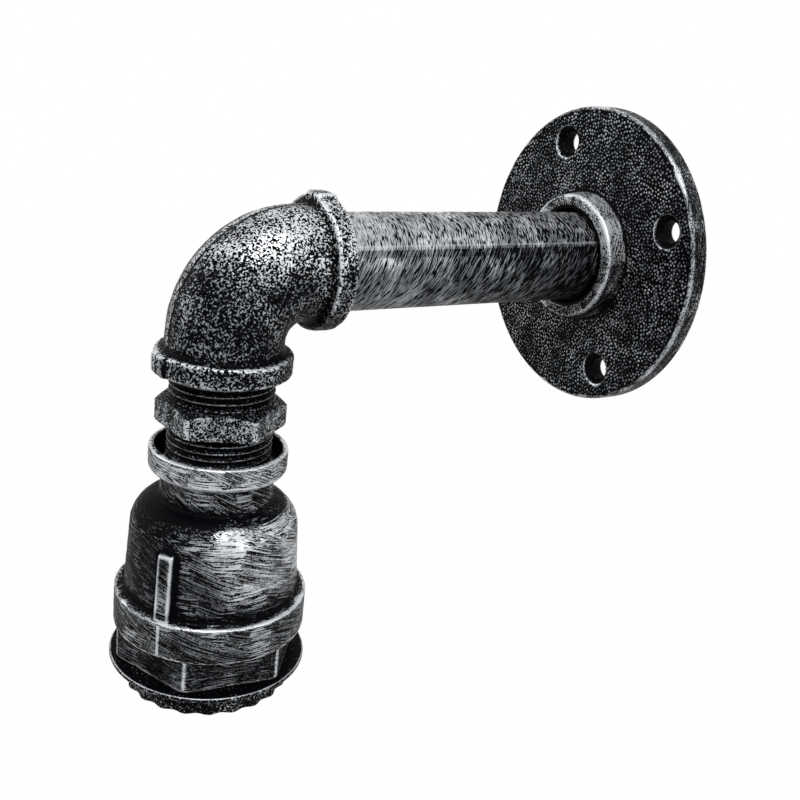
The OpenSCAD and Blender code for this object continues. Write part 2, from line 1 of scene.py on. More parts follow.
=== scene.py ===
# %% [markdown]
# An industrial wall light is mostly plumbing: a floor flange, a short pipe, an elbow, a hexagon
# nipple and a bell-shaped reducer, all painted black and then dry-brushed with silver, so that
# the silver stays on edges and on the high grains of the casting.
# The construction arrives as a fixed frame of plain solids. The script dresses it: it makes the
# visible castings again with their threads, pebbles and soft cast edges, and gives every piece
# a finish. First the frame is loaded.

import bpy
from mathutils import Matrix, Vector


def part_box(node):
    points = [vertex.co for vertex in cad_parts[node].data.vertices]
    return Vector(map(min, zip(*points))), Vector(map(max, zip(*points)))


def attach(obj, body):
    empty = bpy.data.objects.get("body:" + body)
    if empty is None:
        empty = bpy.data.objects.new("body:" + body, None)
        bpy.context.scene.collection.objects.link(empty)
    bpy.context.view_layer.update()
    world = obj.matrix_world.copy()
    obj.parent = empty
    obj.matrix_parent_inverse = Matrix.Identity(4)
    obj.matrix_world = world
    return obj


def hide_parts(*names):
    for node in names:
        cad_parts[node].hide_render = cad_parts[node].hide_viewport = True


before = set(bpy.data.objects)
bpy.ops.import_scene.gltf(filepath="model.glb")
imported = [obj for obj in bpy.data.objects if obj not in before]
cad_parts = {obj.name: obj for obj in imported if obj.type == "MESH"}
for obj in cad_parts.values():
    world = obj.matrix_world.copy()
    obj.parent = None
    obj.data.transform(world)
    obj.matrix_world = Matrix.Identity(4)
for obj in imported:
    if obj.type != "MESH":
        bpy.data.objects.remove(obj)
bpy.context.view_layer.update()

# %% Tools of the trade
import math

import bmesh
import bpy
import numpy as np
from mathutils import Matrix, Vector, noise

MM = 0.001
SCENE = bpy.context.scene

# %% [markdown]
# The photograph looks down on the light from its front right, close enough for the flange to
# look large. A camera is a place, an aim and a lens. Here the aim is a point on the arm, the
# place is a distance from it along an azimuth and an elevation, and a small roll levels the
# drop as the photograph does.

# %% Camera at the photograph's angle
CAMERA_AIM = Vector((-6.2, -60.0, -42.3)) * MM
CAMERA_DISTANCE = 305.0 * MM
CAMERA_AZIMUTH = math.radians(54.78)
CAMERA_ELEVATION = math.radians(19.22)
CAMERA_ROLL = math.radians(6.64)
CAMERA_LENS = 48.19
NEAREST_SEEN = 10 * MM


def camera_axes(azimuth, elevation, roll):
    """Right, up and back directions of a camera that looks at its aim."""
    back = Vector((math.sin(azimuth) * math.cos(elevation),
                   -math.cos(azimuth) * math.cos(elevation), math.sin(elevation)))
    level = Vector((math.cos(azimuth), math.sin(azimuth), 0))
    upright = back.cross(level)
    right = level * math.cos(roll) + upright * math.sin(roll)
    up = upright * math.cos(roll) - level * math.sin(roll)
    return right, up, back


right, up, back = camera_axes(CAMERA_AZIMUTH, CAMERA_ELEVATION, CAMERA_ROLL)
lens = bpy.data.cameras.new("camera")
lens.lens = CAMERA_LENS
lens.clip_start = NEAREST_SEEN
camera = bpy.data.objects.new("camera", lens)
camera.matrix_world = Matrix((right, up, back)).transposed().to_4x4()
camera.location = CAMERA_AIM + back * CAMERA_DISTANCE
SCENE.collection.objects.link(camera)
SCENE.camera = camera
print("camera at", [round(v, 3) for v in camera.location])

# %% [markdown]
# Every finish below is a small network of nodes. One function adds a node: it takes the node's
# kind, its inputs by name or number, and its settings. An input that is a node or a socket
# becomes a link, and anything else becomes the input's own value. Colours are written as sRGB
# hex values, as in a paint chart, and one function turns them into the linear numbers that the
# renderer wants. Two more start a material and feed its shader at the end.

# %% Helpers for nodes and colours
def put(tree, kind, inputs=None, **settings):
    """Adds a node with its settings, links and values, and returns it."""
    node = tree.nodes.new(kind)
    for name, value in settings.items():
        setattr(node, name, value)
    for key, value in (inputs or {}).items():
        if isinstance(value, bpy.types.Node):
            value = value.outputs[0]
        if isinstance(value, bpy.types.NodeSocket):
            tree.links.new(value, node.inputs[key])
        else:
            node.inputs[key].default_value = value
    return node


def colour(code):
    """Linear RGBA of an sRGB hex value such as #0b0c10."""
    parts = [byte / 255 for byte in bytes.fromhex(code[1:])]
    return [c / 12.92 if c <= 0.04045 else ((c + 0.055) / 1.055) ** 2.4 for c in parts] + [1.0]


def new_material(name):
    """A material with its tree and its Principled shader."""
    material = bpy.data.materials.new(name)
    material.use_nodes = True
    return material, material.node_tree, material.node_tree.nodes["Principled BSDF"]


def feed(tree, shader, **sources):
    """Links nodes or sockets to the shader's inputs, with _ for a space in an input's name."""
    for name, source in sources.items():
        if isinstance(source, bpy.types.Node):
            source = source.outputs[0]
        tree.links.new(source, shader.inputs[name.replace("_", " ")])


print("a mid grey, #808080, is", [round(v, 3) for v in colour("#808080")])

# %% [markdown]
# The object hangs in a bright white room. A floor far below catches its shadow and throws soft
# light back up. Camera rays see the floor and the world as plain white, and so do glossy and
# transmitted rays, so that the paint mirrors a white room, while the light stays at a level at
# which a colour renders about as it is written.

# %% Floor
FLOOR_Z = -0.6
FLOOR_SIZE = 6.0
FLOOR_WHITE = 0.99
WHITE = (1, 1, 1, 1)


def seen_directly(tree):
    """1 for camera, glossy and transmission rays, 0 for the rays that carry light."""
    rays = put(tree, "ShaderNodeLightPath")
    seen = put(tree, "ShaderNodeMath", {0: rays.outputs["Is Camera Ray"],
                                        1: rays.outputs["Is Glossy Ray"]}, operation="MAXIMUM")
    return put(tree, "ShaderNodeMath", {0: seen, 1: rays.outputs["Is Transmission Ray"]},
               operation="MAXIMUM")


floor_paint, tree, shader = new_material("matt_white_floor_paint")
shader.inputs["Base Color"].default_value = colour("#f2f2f2")
shader.inputs["Roughness"].default_value = 0.9
share = put(tree, "ShaderNodeMath", {0: seen_directly(tree), 1: FLOOR_WHITE},
            operation="MULTIPLY")
white = put(tree, "ShaderNodeEmission", {"Color": WHITE, "Strength": 1.0})
mixed = put(tree, "ShaderNodeMixShader", {0: share, 1: shader, 2: white})
feed(tree, tree.nodes["Material Output"], Surface=mixed)

floor_mesh = bpy.data.meshes.new("studio_floor")
half = FLOOR_SIZE / 2
floor_mesh.from_pydata([(-half, -half, FLOOR_Z), (half, -half, FLOOR_Z),
                        (half, half, FLOOR_Z), (-half, half, FLOOR_Z)], [], [(0, 1, 2, 3)])
floor_mesh.materials.append(floor_paint)
floor = bpy.data.objects.new("studio_floor", floor_mesh)
SCENE.collection.objects.link(floor)
print("floor at", FLOOR_Z, "m")

# %% [markdown]
# Three soft square lamps light the object: a strong one from above and in front, and a weaker
# one from each side that opens the shadows. A dim white world fills in the rest.

# %% World and lamps
WORLD_LEVEL = 0.3
ARM_MIDDLE = Vector((0, -0.07, -0.04))
LAMPS = {"softbox_key": ((0.36, -0.32, 0.68), 0.4, 4.8),
         "softbox_right": ((0.75, 0.25, 0.2), 0.5, 1.6),
         "softbox_left": ((-0.5, -0.7, 0.3), 0.5, 1.2)}

world = bpy.data.worlds.new("white_room")
SCENE.world = world
world.use_nodes = True
tree = world.node_tree
lit = tree.nodes["Background"]
lit.inputs["Color"].default_value = WHITE
lit.inputs["Strength"].default_value = WORLD_LEVEL
plain = put(tree, "ShaderNodeBackground", {"Color": WHITE, "Strength": 1.0})
mixed = put(tree, "ShaderNodeMixShader", {0: seen_directly(tree), 1: lit, 2: plain})
feed(tree, tree.nodes["World Output"], Surface=mixed)


def soft_lamp(name, place, aim, size, power):
    """A square area lamp that faces its aim."""
    data = bpy.data.lights.new(name, "AREA")
    data.size = size
    data.energy = power
    lamp = bpy.data.objects.new(name, data)
    lamp.location = place
    lamp.rotation_euler = (Vector(aim) - Vector(place)).to_track_quat("-Z", "Y").to_euler()
    SCENE.collection.objects.link(lamp)


for name, (place, size, power) in LAMPS.items():
    soft_lamp(name, place, ARM_MIDDLE, size, power)
SCENE.view_settings.view_transform = "Standard"
print("lamps in watts:", {name: power for name, (place, size, power) in LAMPS.items()})

# %% [markdown]
# Nearly every part here is turned or cast round an axis: its section is an outline, and the
# outline is carried round. A corner of an outline is a place along the axis, a distance out
# from it, and the radius that rounds it. The helper divides the stretches evenly, because the
# cast skin is later pushed in and out a little and needs fine, even quads.

# %% Outlines
ARC_STEP = math.radians(15)
NEARLY_STRAIGHT = math.radians(89)
SIDE_SHARE = 0.49


def arc(along, out, radius, first, last, count=16):
    """Corners on an arc about (along, out), from one angle to another, in degrees."""
    angles = [math.radians(first + (last - first) * i / count) for i in range(count + 1)]
    return [(along + radius * math.sin(a), out + radius * math.cos(a), 0) for a in angles]


def rounded(before, corner, after):
    """Points that replace a corner by an arc which touches both of its sides."""
    here = Vector(corner[:2])
    radius = corner[2]
    to_before = Vector(before[:2]) - here
    to_after = Vector(after[:2]) - here
    half_angle = to_before.angle(to_after, math.pi) / 2
    if radius == 0 or half_angle > NEARLY_STRAIGHT:
        return [here]
    reach = min(radius / math.tan(half_angle), SIDE_SHARE * to_before.length,
                SIDE_SHARE * to_after.length)
    start = here + to_before.normalized() * reach
    end = here + to_after.normalized() * reach
    sweep = math.pi - 2 * half_angle
    count = max(2, round(sweep / ARC_STEP))
    centre = here + (to_before.normalized() + to_after.normalized()).normalized() \
        * (reach / math.cos(half_angle))
    first = start - centre
    turn = first.angle_signed(end - centre)
    return [centre + Matrix.Rotation(-turn * i / count, 2) @ first for i in range(count + 1)]


def path(corners, step):
    """Open path through corners in mm, rounded and divided into pieces of at most one step."""
    points = [Vector(corners[0][:2])]
    for i in range(1, len(corners) - 1):
        points += rounded(corners[i - 1], corners[i], corners[i + 1])
    points.append(Vector(corners[-1][:2]))
    fine = []
    for a, b in zip(points, points[1:]):
        pieces = max(1, math.ceil((b - a).length / step))
        fine += [a.lerp(b, i / pieces) for i in range(pieces)]
    return np.array([tuple(p) for p in fine + [points[-1]]])


square = path([(0, 5, 0), (0, 10, 2), (10, 10, 2), (10, 0, 2), (0, 0, 2), (0, 5, 0)], 1)
print("a 10 mm square with 2 mm corners has", len(square), "points")

# %% [markdown]
# The outline becomes a skin when each of its points is carried round the axis. The axis may be
# straight, as on the pipe, or bent, as on the elbow, so the caller passes a function that
# places a point, given its distance along the axis, its distance out and its turn. Another
# function may push the outline in or out at some turns, which is how a hexagon, a rib or a lug
# grows from a round body. The skin joins itself both ways, so it is closed without caps.

# %% Spun skins
MERGE_DISTANCE = 0.001 * MM


def new_object(name, mesh):
    """An object at the origin that shows a mesh."""
    obj = bpy.data.objects.new(name, mesh)
    SCENE.collection.objects.link(obj)
    return obj


def face_out(mesh):
    """Turns a closed mesh's faces outwards and makes it smooth."""
    work = bmesh.new()
    work.from_mesh(mesh)
    bmesh.ops.remove_doubles(work, verts=work.verts, dist=MERGE_DISTANCE)
    bmesh.ops.recalc_face_normals(work, faces=work.faces)
    if work.calc_volume(signed=True) < 0:
        bmesh.ops.reverse_faces(work, faces=work.faces)
    work.to_mesh(mesh)
    work.free()
    mesh.shade_smooth()


def spun(name, outline, turns, place, reshape=None):
    """Closed skin of an outline (n, 2) in mm that is carried through the turns, in radians."""
    along, turn = np.meshgrid(outline[:, 0], turns)
    out, turn = np.meshgrid(outline[:, 1], turns)
    if reshape:
        out = reshape(along, out, turn)
    points = np.stack(place(along, out, turn), axis=-1).reshape(-1, 3) * MM
    rows, columns = along.shape
    i, j = np.meshgrid(np.arange(rows), np.arange(columns), indexing="ij")
    i_next, j_next = (i + 1) % rows, (j + 1) % columns
    faces = np.stack([i * columns + j, i_next * columns + j,
                      i_next * columns + j_next, i * columns + j_next], axis=-1)
    mesh = bpy.data.meshes.new(name)
    mesh.from_pydata(points.tolist(), [], faces.reshape(-1, 4).tolist())
    face_out(mesh)
    print(name, "has", len(mesh.polygons), "faces")
    return new_object(name, mesh)


# %% [markdown]
# Two axes carry nearly everything: the arm's, square to the wall, and the drop's, straight
# down. The drop's place is read from the frame, so that the skins follow the solids. The turns
# round an axis are even, and a feature with a sharp edge may ask for a few more of its own.

# %% Turns and axes
LEAST_GAP = 0.15


def even_turns(count, features=()):
    """Turns in equal steps, with a few more where a feature has an edge."""
    turns = [math.tau * i / count for i in range(count)]
    turns += [f % math.tau for f in features]
    turns = sorted(turns)
    gap = LEAST_GAP * math.tau / count
    kept = [t for t, after in zip(turns, turns[1:] + [turns[0] + math.tau]) if after - t > gap]
    return np.array(kept)


DROP_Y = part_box("screw_shell")[0].y / 2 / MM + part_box("screw_shell")[1].y / 2 / MM
print("the drop's axis is at y =", round(DROP_Y, 2), "mm")


def on_drop(along, out, turn):
    """Place round the vertical axis of the drop: along is the height."""
    return out * np.cos(turn), DROP_Y + out * np.sin(turn), along


def on_arm(along, out, turn):
    """Place round the arm's axis: along is the distance from the wall."""
    return out * np.cos(turn), -along, out * np.sin(turn)


# %% Blends and hexagons
def smooth_min(a, b, soft):
    """The lesser of two values, blended where they are nearly equal."""
    mix = np.clip(0.5 + 0.5 * (b - a) / soft, 0, 1)
    return b * (1 - mix) + a * mix - soft * mix * (1 - mix)


def smooth_step(low, high, value):
    """0 below low, 1 above high, and a smooth change between them."""
    t = np.clip((value - low) / (high - low), 0, 1)
    return t * t * (3 - 2 * t)


def hexagon_out(turn, across_flats, corner):
    """Distance from a hexagon's axis to its side, for one corner's turn."""
    from_flat = (turn - corner) % (math.pi / 3) - math.pi / 6
    return across_flats / 2 / np.cos(from_flat)


print("a 28 mm hexagon is", round(2 * hexagon_out(0, 28, 0), 1), "mm across its corners")

# %% [markdown]
# Moulding sand leaves a slightly uneven skin. Every point is pushed out or in along its normal
# by a slow noise of about a tenth of a millimetre, so that highlights waver as on a casting.

# %% Cast skin
FINER_WEIGHT = 0.6
FINER_SIZE = 2.2
NOISE_LAYERS = 3


def roughen(obj, height, grain):
    """Moves points along their normals by a noise, height and grain in mm."""
    mesh = obj.data
    normals = [v.normal.copy() for v in mesh.vertices]
    for vertex, normal in zip(mesh.vertices, normals):
        bump = noise.fractal(vertex.co / (grain * MM), FINER_WEIGHT, FINER_SIZE, NOISE_LAYERS)
        vertex.co += normal * (bump * height * MM)
    mesh.update()


# %% [markdown]
# A dry brush leaves its paint where it touches: on edges and raised grain, never in hollows.
# To know which points those are, each point is compared with a smoothed copy of its own mesh.
# A point on an edge stands proud of the copy, and a point in a groove lies below it. The
# result is kept in an attribute named worn, from -1 in a hollow to 1 on an edge, and the paint
# reads it.

# %% Worn edges
EDGE_ROUNDS = 4
HOLLOW_ROUNDS = 14
EDGE_LEAST = 0.03
EDGE_FULL = 0.18
HOLLOW_LEAST = 0.05
HOLLOW_FULL = 0.5


def point_values(mesh, what):
    """A value of three numbers of every point, its co or its normal, as an (n, 3) array."""
    values = np.zeros(len(mesh.vertices) * 3)
    mesh.vertices.foreach_get(what, values)
    return values.reshape(-1, 3)


def write_attribute(mesh, name, values):
    """Keeps one number for each point under a name that a material can read."""
    attribute = mesh.attributes.new(name, "FLOAT", "POINT")
    attribute.data.foreach_set("value", np.ascontiguousarray(values))


def proud_of(points, normals, ends, others, rounds):
    """How far each point stands out of its mesh after some rounds of smoothing."""
    count = len(points)
    valence = np.maximum(np.bincount(ends, minlength=count), 1)[:, None]
    smooth = points.copy()
    for _ in range(rounds):
        smooth = np.stack([np.bincount(ends, weights=smooth[others, k], minlength=count)
                           for k in range(3)], axis=1) / valence
    return np.einsum("ij,ij->i", points - smooth, normals)


def mark_wear(obj, edge_full=EDGE_FULL):
    """Writes the worn attribute: narrow on edges, wide in hollows, full at these mm."""
    mesh = obj.data
    points = point_values(mesh, "co") / MM
    normals = point_values(mesh, "normal")
    edges = np.zeros(len(mesh.edges) * 2, dtype=int)
    mesh.edges.foreach_get("vertices", edges)
    a, b = edges.reshape(-1, 2).T
    ends = np.concatenate([a, b])
    others = np.concatenate([b, a])
    edge = proud_of(points, normals, ends, others, EDGE_ROUNDS)
    hollow = proud_of(points, normals, ends, others, HOLLOW_ROUNDS)
    worn = np.clip((edge - EDGE_LEAST) / (edge_full - EDGE_LEAST), 0, 1)
    worn -= np.clip((-hollow - HOLLOW_LEAST) / (HOLLOW_FULL - HOLLOW_LEAST), 0, 1)
    write_attribute(mesh, "worn", worn)
    print(obj.name, "is worn on", round(100 * float(np.mean(worn > 0.5)), 1), "% of its points")


# %% [markdown]
# The brush also goes where the hand takes it: more on the ring, less on the hexagon and in the
# threads. The same values also carry painted light: painted highlights, one of them on the
# dome's shoulder, on sides that face the lamps, and painted shade in creases and on sides
# turned away. A small function of the place, written for each piece, says how much more or
# less, and goes into an attribute named touch_and_painted_light.

# %% Where the brush went, and painted light and shade
def mark_touch_and_painted_light(obj, amount):
    """Writes the touch_and_painted_light attribute from a function of x, y and z in mm."""
    x, y, z = (point_values(obj.data, "co") / MM).T
    silver = amount(x, y, z)
    write_attribute(obj.data, "touch_and_painted_light", silver)
    print(obj.name, "takes", round(silver.min(), 2), "to", round(silver.max(), 2), "more silver")


# %% [markdown]
# The finish: black paint over a sand-cast skin, dry-brushed with aluminium paint. The brush
# leaves short worm-like flecks about half a millimetre wide on the high grains, fine strokes
# where it was dragged, and an unbroken bright line along every edge. Where it carried much
# paint the silver is nearly white, and where it was nearly dry it is a mid grey. The nearly
# white silver also makes the painted highlights.
# A stroke is a noise that is drawn out one way. Its place is first turned about the piece's
# axis by an angle that grows along the axis, so that the stroke winds round the piece. The hand
# changes its way from place to place, so a slow noise picks between two kinds of stroke.

# %% Strokes
CENTRES = {"Y": (0, 0, 0), "Z": (0, DROP_Y * MM, 0)}
LENGTHWISE = {"Y": (0.6, 0.07, 0.6), "Z": (0.6, 0.6, 0.07)}
ROUNDWISE = {"Y": (0.05, 1, 0.05), "Z": (0.05, 0.05, 1)}


def strokes(tree, place, axis, twist, width, drawn):
    """Noise of brush strokes: width in mm, twist in radians a mm, drawn out as the scale says."""
    along = put(tree, "ShaderNodeSeparateXYZ", {0: place}).outputs[axis]
    angle = put(tree, "ShaderNodeMath", {0: along, 1: twist / MM}, operation="MULTIPLY")
    turned = put(tree, "ShaderNodeVectorRotate", {"Vector": place, "Center": CENTRES[axis],
                                                  "Angle": angle}, rotation_type=axis + "_AXIS")
    pulled = put(tree, "ShaderNodeMapping", {"Vector": turned, "Scale": drawn})
    return put(tree, "ShaderNodeTexNoise", {"Vector": pulled, "Scale": 1 / (width * MM),
                                            "Detail": 1.0, "Roughness": 0.5}).outputs["Fac"]


print("a stroke is about", round(LENGTHWISE["Z"][0] / LENGTHWISE["Z"][2]), "times as long as wide")


# %% Silver over black
BLACK_PAINT = "#030406"
THIN_SILVER = "#7b7f83"
# Nearly white silver: heavy paint, and also the colour of the painted highlights.
FULL_SILVER_AND_HIGHLIGHT = "#d6d9dc"
FLAKE_METAL = 0.5
BLACK_ROUGH = 0.5
SILVER_ROUGH = 0.32
MATT_LEVEL = 0.03


def paint_by_cover(tree, shader, cover, tone, relief):
    """Black where cover is 0; silver where it is 1, thin or full by tone; relief in mm."""
    silver = put(tree, "ShaderNodeMix", {0: tone, 6: colour(THIN_SILVER),
                                         7: colour(FULL_SILVER_AND_HIGHLIGHT)}, data_type="RGBA")
    paint = put(tree, "ShaderNodeMix", {0: cover, 6: colour(BLACK_PAINT), 7: silver.outputs[2]},
                data_type="RGBA")
    metal = put(tree, "ShaderNodeMath", {0: cover, 1: FLAKE_METAL}, operation="MULTIPLY")
    rough = put(tree, "ShaderNodeMapRange", {"Value": cover, "To Min": BLACK_ROUGH,
                                             "To Max": SILVER_ROUGH})
    bump = put(tree, "ShaderNodeBump", {"Height": cover, "Strength": 1.0,
                                        "Distance": relief * MM})
    feed(tree, shader, Base_Color=paint.outputs[2], Metallic=metal, Roughness=rough, Normal=bump)
    shader.inputs["Specular IOR Level"].default_value = MATT_LEVEL


print("full silver is", [round(v, 2) for v in colour(FULL_SILVER_AND_HIGHLIGHT)[:3]], "in linear numbers")


# %% [markdown]
# The paint adds up three things: the noise of flecks or strokes, the wear of the edges, and the
# press of the brush together with the painted light and shade. Where the sum passes a cut,
# silver lies. The silver is fuller on edges, where the brush pressed and on painted highlights,
# which gives the bright lines and the highlights their white.

# %% Dry-brushed paint
NOISE_MIDDLE = 0.5
SHARE_REACH = 0.3
PICK_BLEND = 0.06
TOUCH_AND_PAINTED_LIGHT_TO_TONE = 7.0
WORN_TO_TONE = 0.5
THIN_LEVEL = 0.3
FULL_LEVEL = 0.9


def brushed_paint(name, fleck, share, dragged=0.0, axis="Z", width=0.24, twist=0.12, edge=0.35,
                  patch=8.0, patchy=0.25, contrast=0.035, relief=0.04, shine=1.0):
    """Dry-brushed paint: sizes in mm, share of silver and of dragged strokes 0 to 1."""
    material, tree, shader = new_material(name)
    place = put(tree, "ShaderNodeTexCoord").outputs["Object"]
    flecks = put(tree, "ShaderNodeTexNoise", {"Vector": place, "Scale": 1 / (fleck * MM),
                                              "Detail": 1.0, "Roughness": 0.4,
                                              "Distortion": 0.6})
    patches = put(tree, "ShaderNodeTexNoise", {"Vector": place, "Scale": 1 / (patch * MM),
                                               "Detail": 2.0, "Roughness": 0.6}).outputs["Fac"]
    pick = put(tree, "ShaderNodeMapRange", {"Value": patches, "From Min": NOISE_MIDDLE,
                                            "From Max": NOISE_MIDDLE + PICK_BLEND})
    lines = put(tree, "ShaderNodeMix", {
        0: pick, 2: strokes(tree, place, axis, twist, width, LENGTHWISE[axis]),
        3: strokes(tree, place, axis, 0, width, ROUNDWISE[axis])})
    marks = put(tree, "ShaderNodeMix", {0: dragged, 2: flecks, 3: lines})
    worn = put(tree, "ShaderNodeAttribute", attribute_name="worn").outputs["Fac"]
    # This attribute holds the brush's extra silver together with painted highlights and painted
    # shade.
    touch_and_painted_light = put(tree, "ShaderNodeAttribute", attribute_name="touch_and_painted_light").outputs["Fac"]
    level = marks
    for source, weight in ((patches, patchy), (worn, edge), (touch_and_painted_light, 1.0)):
        level = put(tree, "ShaderNodeMath", {0: source, 1: weight, 2: level},
                    operation="MULTIPLY_ADD")
    cut = NOISE_MIDDLE * (1 + patchy) + SHARE_REACH * (0.5 - share)
    cover = put(tree, "ShaderNodeMapRange", {"Value": level, "From Min": cut - contrast,
                                             "From Max": cut + contrast},
                interpolation_type="SMOOTHSTEP")
    full = patches
    for source, weight in ((touch_and_painted_light, TOUCH_AND_PAINTED_LIGHT_TO_TONE), (worn, WORN_TO_TONE)):
        full = put(tree, "ShaderNodeMath", {0: source, 1: weight * shine, 2: full},
                   operation="MULTIPLY_ADD")
    tone = put(tree, "ShaderNodeMapRange", {"Value": full, "From Min": THIN_LEVEL,
                                            "From Max": FULL_LEVEL})
    paint_by_cover(tree, shader, cover, tone, relief)
    return material


# %% Paints of the castings
elbow_paint = brushed_paint("dry_brushed_black_elbow", 0.52, 0.28, edge=0.3, contrast=0.024)
bell_paint = brushed_paint("dry_brushed_black_bell", 0.4, 0.32, dragged=0.72, edge=0.35,
                           contrast=0.06)
flange_paint = brushed_paint("dry_brushed_black_flange", 0.4, 0.24, dragged=0.5, axis="Y",
                             contrast=0.06)
nipple_paint = brushed_paint("dry_brushed_black_nipple", 0.45, 0.37, dragged=0.2, twist=0.05,
                             patch=3.5, patchy=0.3, contrast=0.028)
ring_paint = brushed_paint("dry_brushed_black_shade_ring", 0.45, 0.1, edge=0.2, shine=0.03)
print("paints:", [m.name for m in bpy.data.materials if "brushed" in m.name])

# %% [markdown]
# The pebbled skin is brushed so lightly that only the top of each grain takes silver. Here the
# height above the flange's face decides, and a slow noise leaves some grains out.

# %% Paint of the pebbles
PEBBLE_FOOT = 5.52
PEBBLE_TOP = 5.68
LEFT_OUT_PATCH = 7.0


def pebble_brushed(name, foot, top):
    """Black grains with silver tops, for a face at y = -foot and tops at y = -top, in mm."""
    material, tree, shader = new_material(name)
    place = put(tree, "ShaderNodeTexCoord").outputs["Object"]
    deep = put(tree, "ShaderNodeSeparateXYZ", {0: place}).outputs["Y"]
    patches = put(tree, "ShaderNodeTexNoise", {"Vector": place, "Detail": 3.0, "Roughness": 0.65,
                                               "Scale": 1 / (LEFT_OUT_PATCH * MM)})
    rise = put(tree, "ShaderNodeMapRange", {"Value": deep, "From Min": -foot * MM,
                                            "From Max": -top * MM})
    level = put(tree, "ShaderNodeMath", {0: patches, 1: 1.1, 2: rise}, operation="MULTIPLY_ADD")
    cover = put(tree, "ShaderNodeMapRange", {"Value": level, "From Min": 1.0, "From Max": 1.6},
                interpolation_type="SMOOTHSTEP")
    tone = put(tree, "ShaderNodeMapRange", {"Value": patches, "From Min": 0.45,
                                            "From Max": 0.95})
    paint_by_cover(tree, shader, cover, tone, 0.01)
    return material


pebble_paint = pebble_brushed("dry_brushed_pebbled_skin", PEBBLE_FOOT, PEBBLE_TOP)
print("silver from", PEBBLE_FOOT, "mm to", PEBBLE_TOP, "mm off the wall")

# %% [markdown]
# The pipe is smooth, so the brush leaves strokes and no flecks. Above the weld it went round
# the pipe and blended to a light grey, and less so towards the flange; the lighter silver on the
# top is also a painted highlight. Below the weld it went slantwise, in single strokes a few
# millimetres long, and a dark line of painted shadow lies under the weld.

# %% Paint of the pipe
WELD_Z = 6.3
WELD_LINE_W = 0.2
# Place and half width of the painted shadow under the weld.
WELD_SHADOW_Z = 4.5
WELD_SHADOW_W = 0.9
DRY_Y = -14.0
FULL_Y = -90.0
HOOP_LEAN = 0.14
PIPE_PATCH = 9.0
BORE_DARK = 10.8
BORE_EDGE = 11.8
# added towards the elbow, added in patches, and the levels where silver starts and covers
SLANT_LEVELS = (0.12, 0.15, 0.715, 0.76)
HOOP_LEVELS = (0.14, 0.25, 0.685, 0.735)


def pipe_brushed(name):
    """Arm pipe paint: two ways of brushing about the weld, a painted highlight above, shadow under
    it.
    """
    material, tree, shader = new_material(name)
    place = put(tree, "ShaderNodeTexCoord").outputs["Object"]
    parts = put(tree, "ShaderNodeSeparateXYZ", {0: place})
    leaning = put(tree, "ShaderNodeMapping", {"Vector": place, "Rotation": (HOOP_LEAN, 0, 0)})
    hoops = strokes(tree, leaning, "Y", 0, 0.24, (0.12, 1, 0.12))
    steep = strokes(tree, place, "Y", 0.2, 0.64, (1, 0.4, 1))
    easy = strokes(tree, place, "Y", 0.12, 0.46, (1, 0.22, 1))
    slants = put(tree, "ShaderNodeMath", {0: steep, 1: easy}, operation="MAXIMUM")
    patches = put(tree, "ShaderNodeTexNoise", {"Vector": place, "Detail": 3.0, "Roughness": 0.6,
                                               "Scale": 1 / (PIPE_PATCH * MM)}).outputs["Fac"]
    upper = put(tree, "ShaderNodeMapRange", {"Value": parts.outputs["Z"],
                                             "From Min": (WELD_Z - 1.5) * MM,
                                             "From Max": (WELD_Z + 0.2) * MM})
    towards_elbow = put(tree, "ShaderNodeMapRange", {"Value": parts.outputs["Y"],
                                                     "From Min": DRY_Y * MM,
                                                     "From Max": FULL_Y * MM})
    ways = []
    for level, (near_elbow, patchy, low, high) in ((slants, SLANT_LEVELS), (hoops, HOOP_LEVELS)):
        for source, weight in ((towards_elbow, near_elbow), (patches, patchy)):
            level = put(tree, "ShaderNodeMath", {0: source, 1: weight, 2: level},
                        operation="MULTIPLY_ADD")
        ways.append(put(tree, "ShaderNodeMapRange", {"Value": level, "From Min": low,
                                                     "From Max": high}))
    cover = put(tree, "ShaderNodeMix", {0: upper, 2: ways[0], 3: ways[1]})
    # Painted shadow: a dark line just under the weld.
    weld_shadow = put(tree, "ShaderNodeMath", {0: parts.outputs["Z"], 1: WELD_SHADOW_Z * MM,
                                         2: WELD_SHADOW_W * MM}, operation="COMPARE")
    weld = put(tree, "ShaderNodeMath", {0: parts.outputs["Z"], 1: WELD_Z * MM,
                                        2: WELD_LINE_W * MM}, operation="COMPARE")
    worn = put(tree, "ShaderNodeAttribute", attribute_name="worn").outputs["Fac"]
    for source, weight in ((weld_shadow, -0.35), (weld, 0.28), (worn, 0.6)):
        cover = put(tree, "ShaderNodeMath", {0: source, 1: weight, 2: cover},
                    operation="MULTIPLY_ADD")
    out = put(tree, "ShaderNodeVectorMath", {0: place, 1: (1, 0, 1)}, operation="MULTIPLY")
    out = put(tree, "ShaderNodeVectorMath", {0: out}, operation="LENGTH").outputs["Value"]
    reached = put(tree, "ShaderNodeMapRange", {"Value": out, "From Min": BORE_DARK * MM,
                                               "From Max": BORE_EDGE * MM, "To Min": 0.15})
    cover = put(tree, "ShaderNodeMath", {0: cover, 1: reached}, operation="MULTIPLY")
    cover = put(tree, "ShaderNodeClamp", {0: cover}).outputs[0]
    tone = put(tree, "ShaderNodeMapRange", {"Value": patches, "From Min": 0.45,
                                            "From Max": 0.9})
    # Silver above the weld is fuller: partly brushing, partly a painted highlight on the top.
    tone = put(tree, "ShaderNodeMath", {0: upper, 1: 0.5, 2: tone}, operation="MULTIPLY_ADD")
    paint_by_cover(tree, shader, cover, tone, 0.02)
    return material


pipe_paint = pipe_brushed("dry_brushed_black_steel_pipe")
print("the pipe's paint has", len(pipe_paint.node_tree.nodes), "nodes")


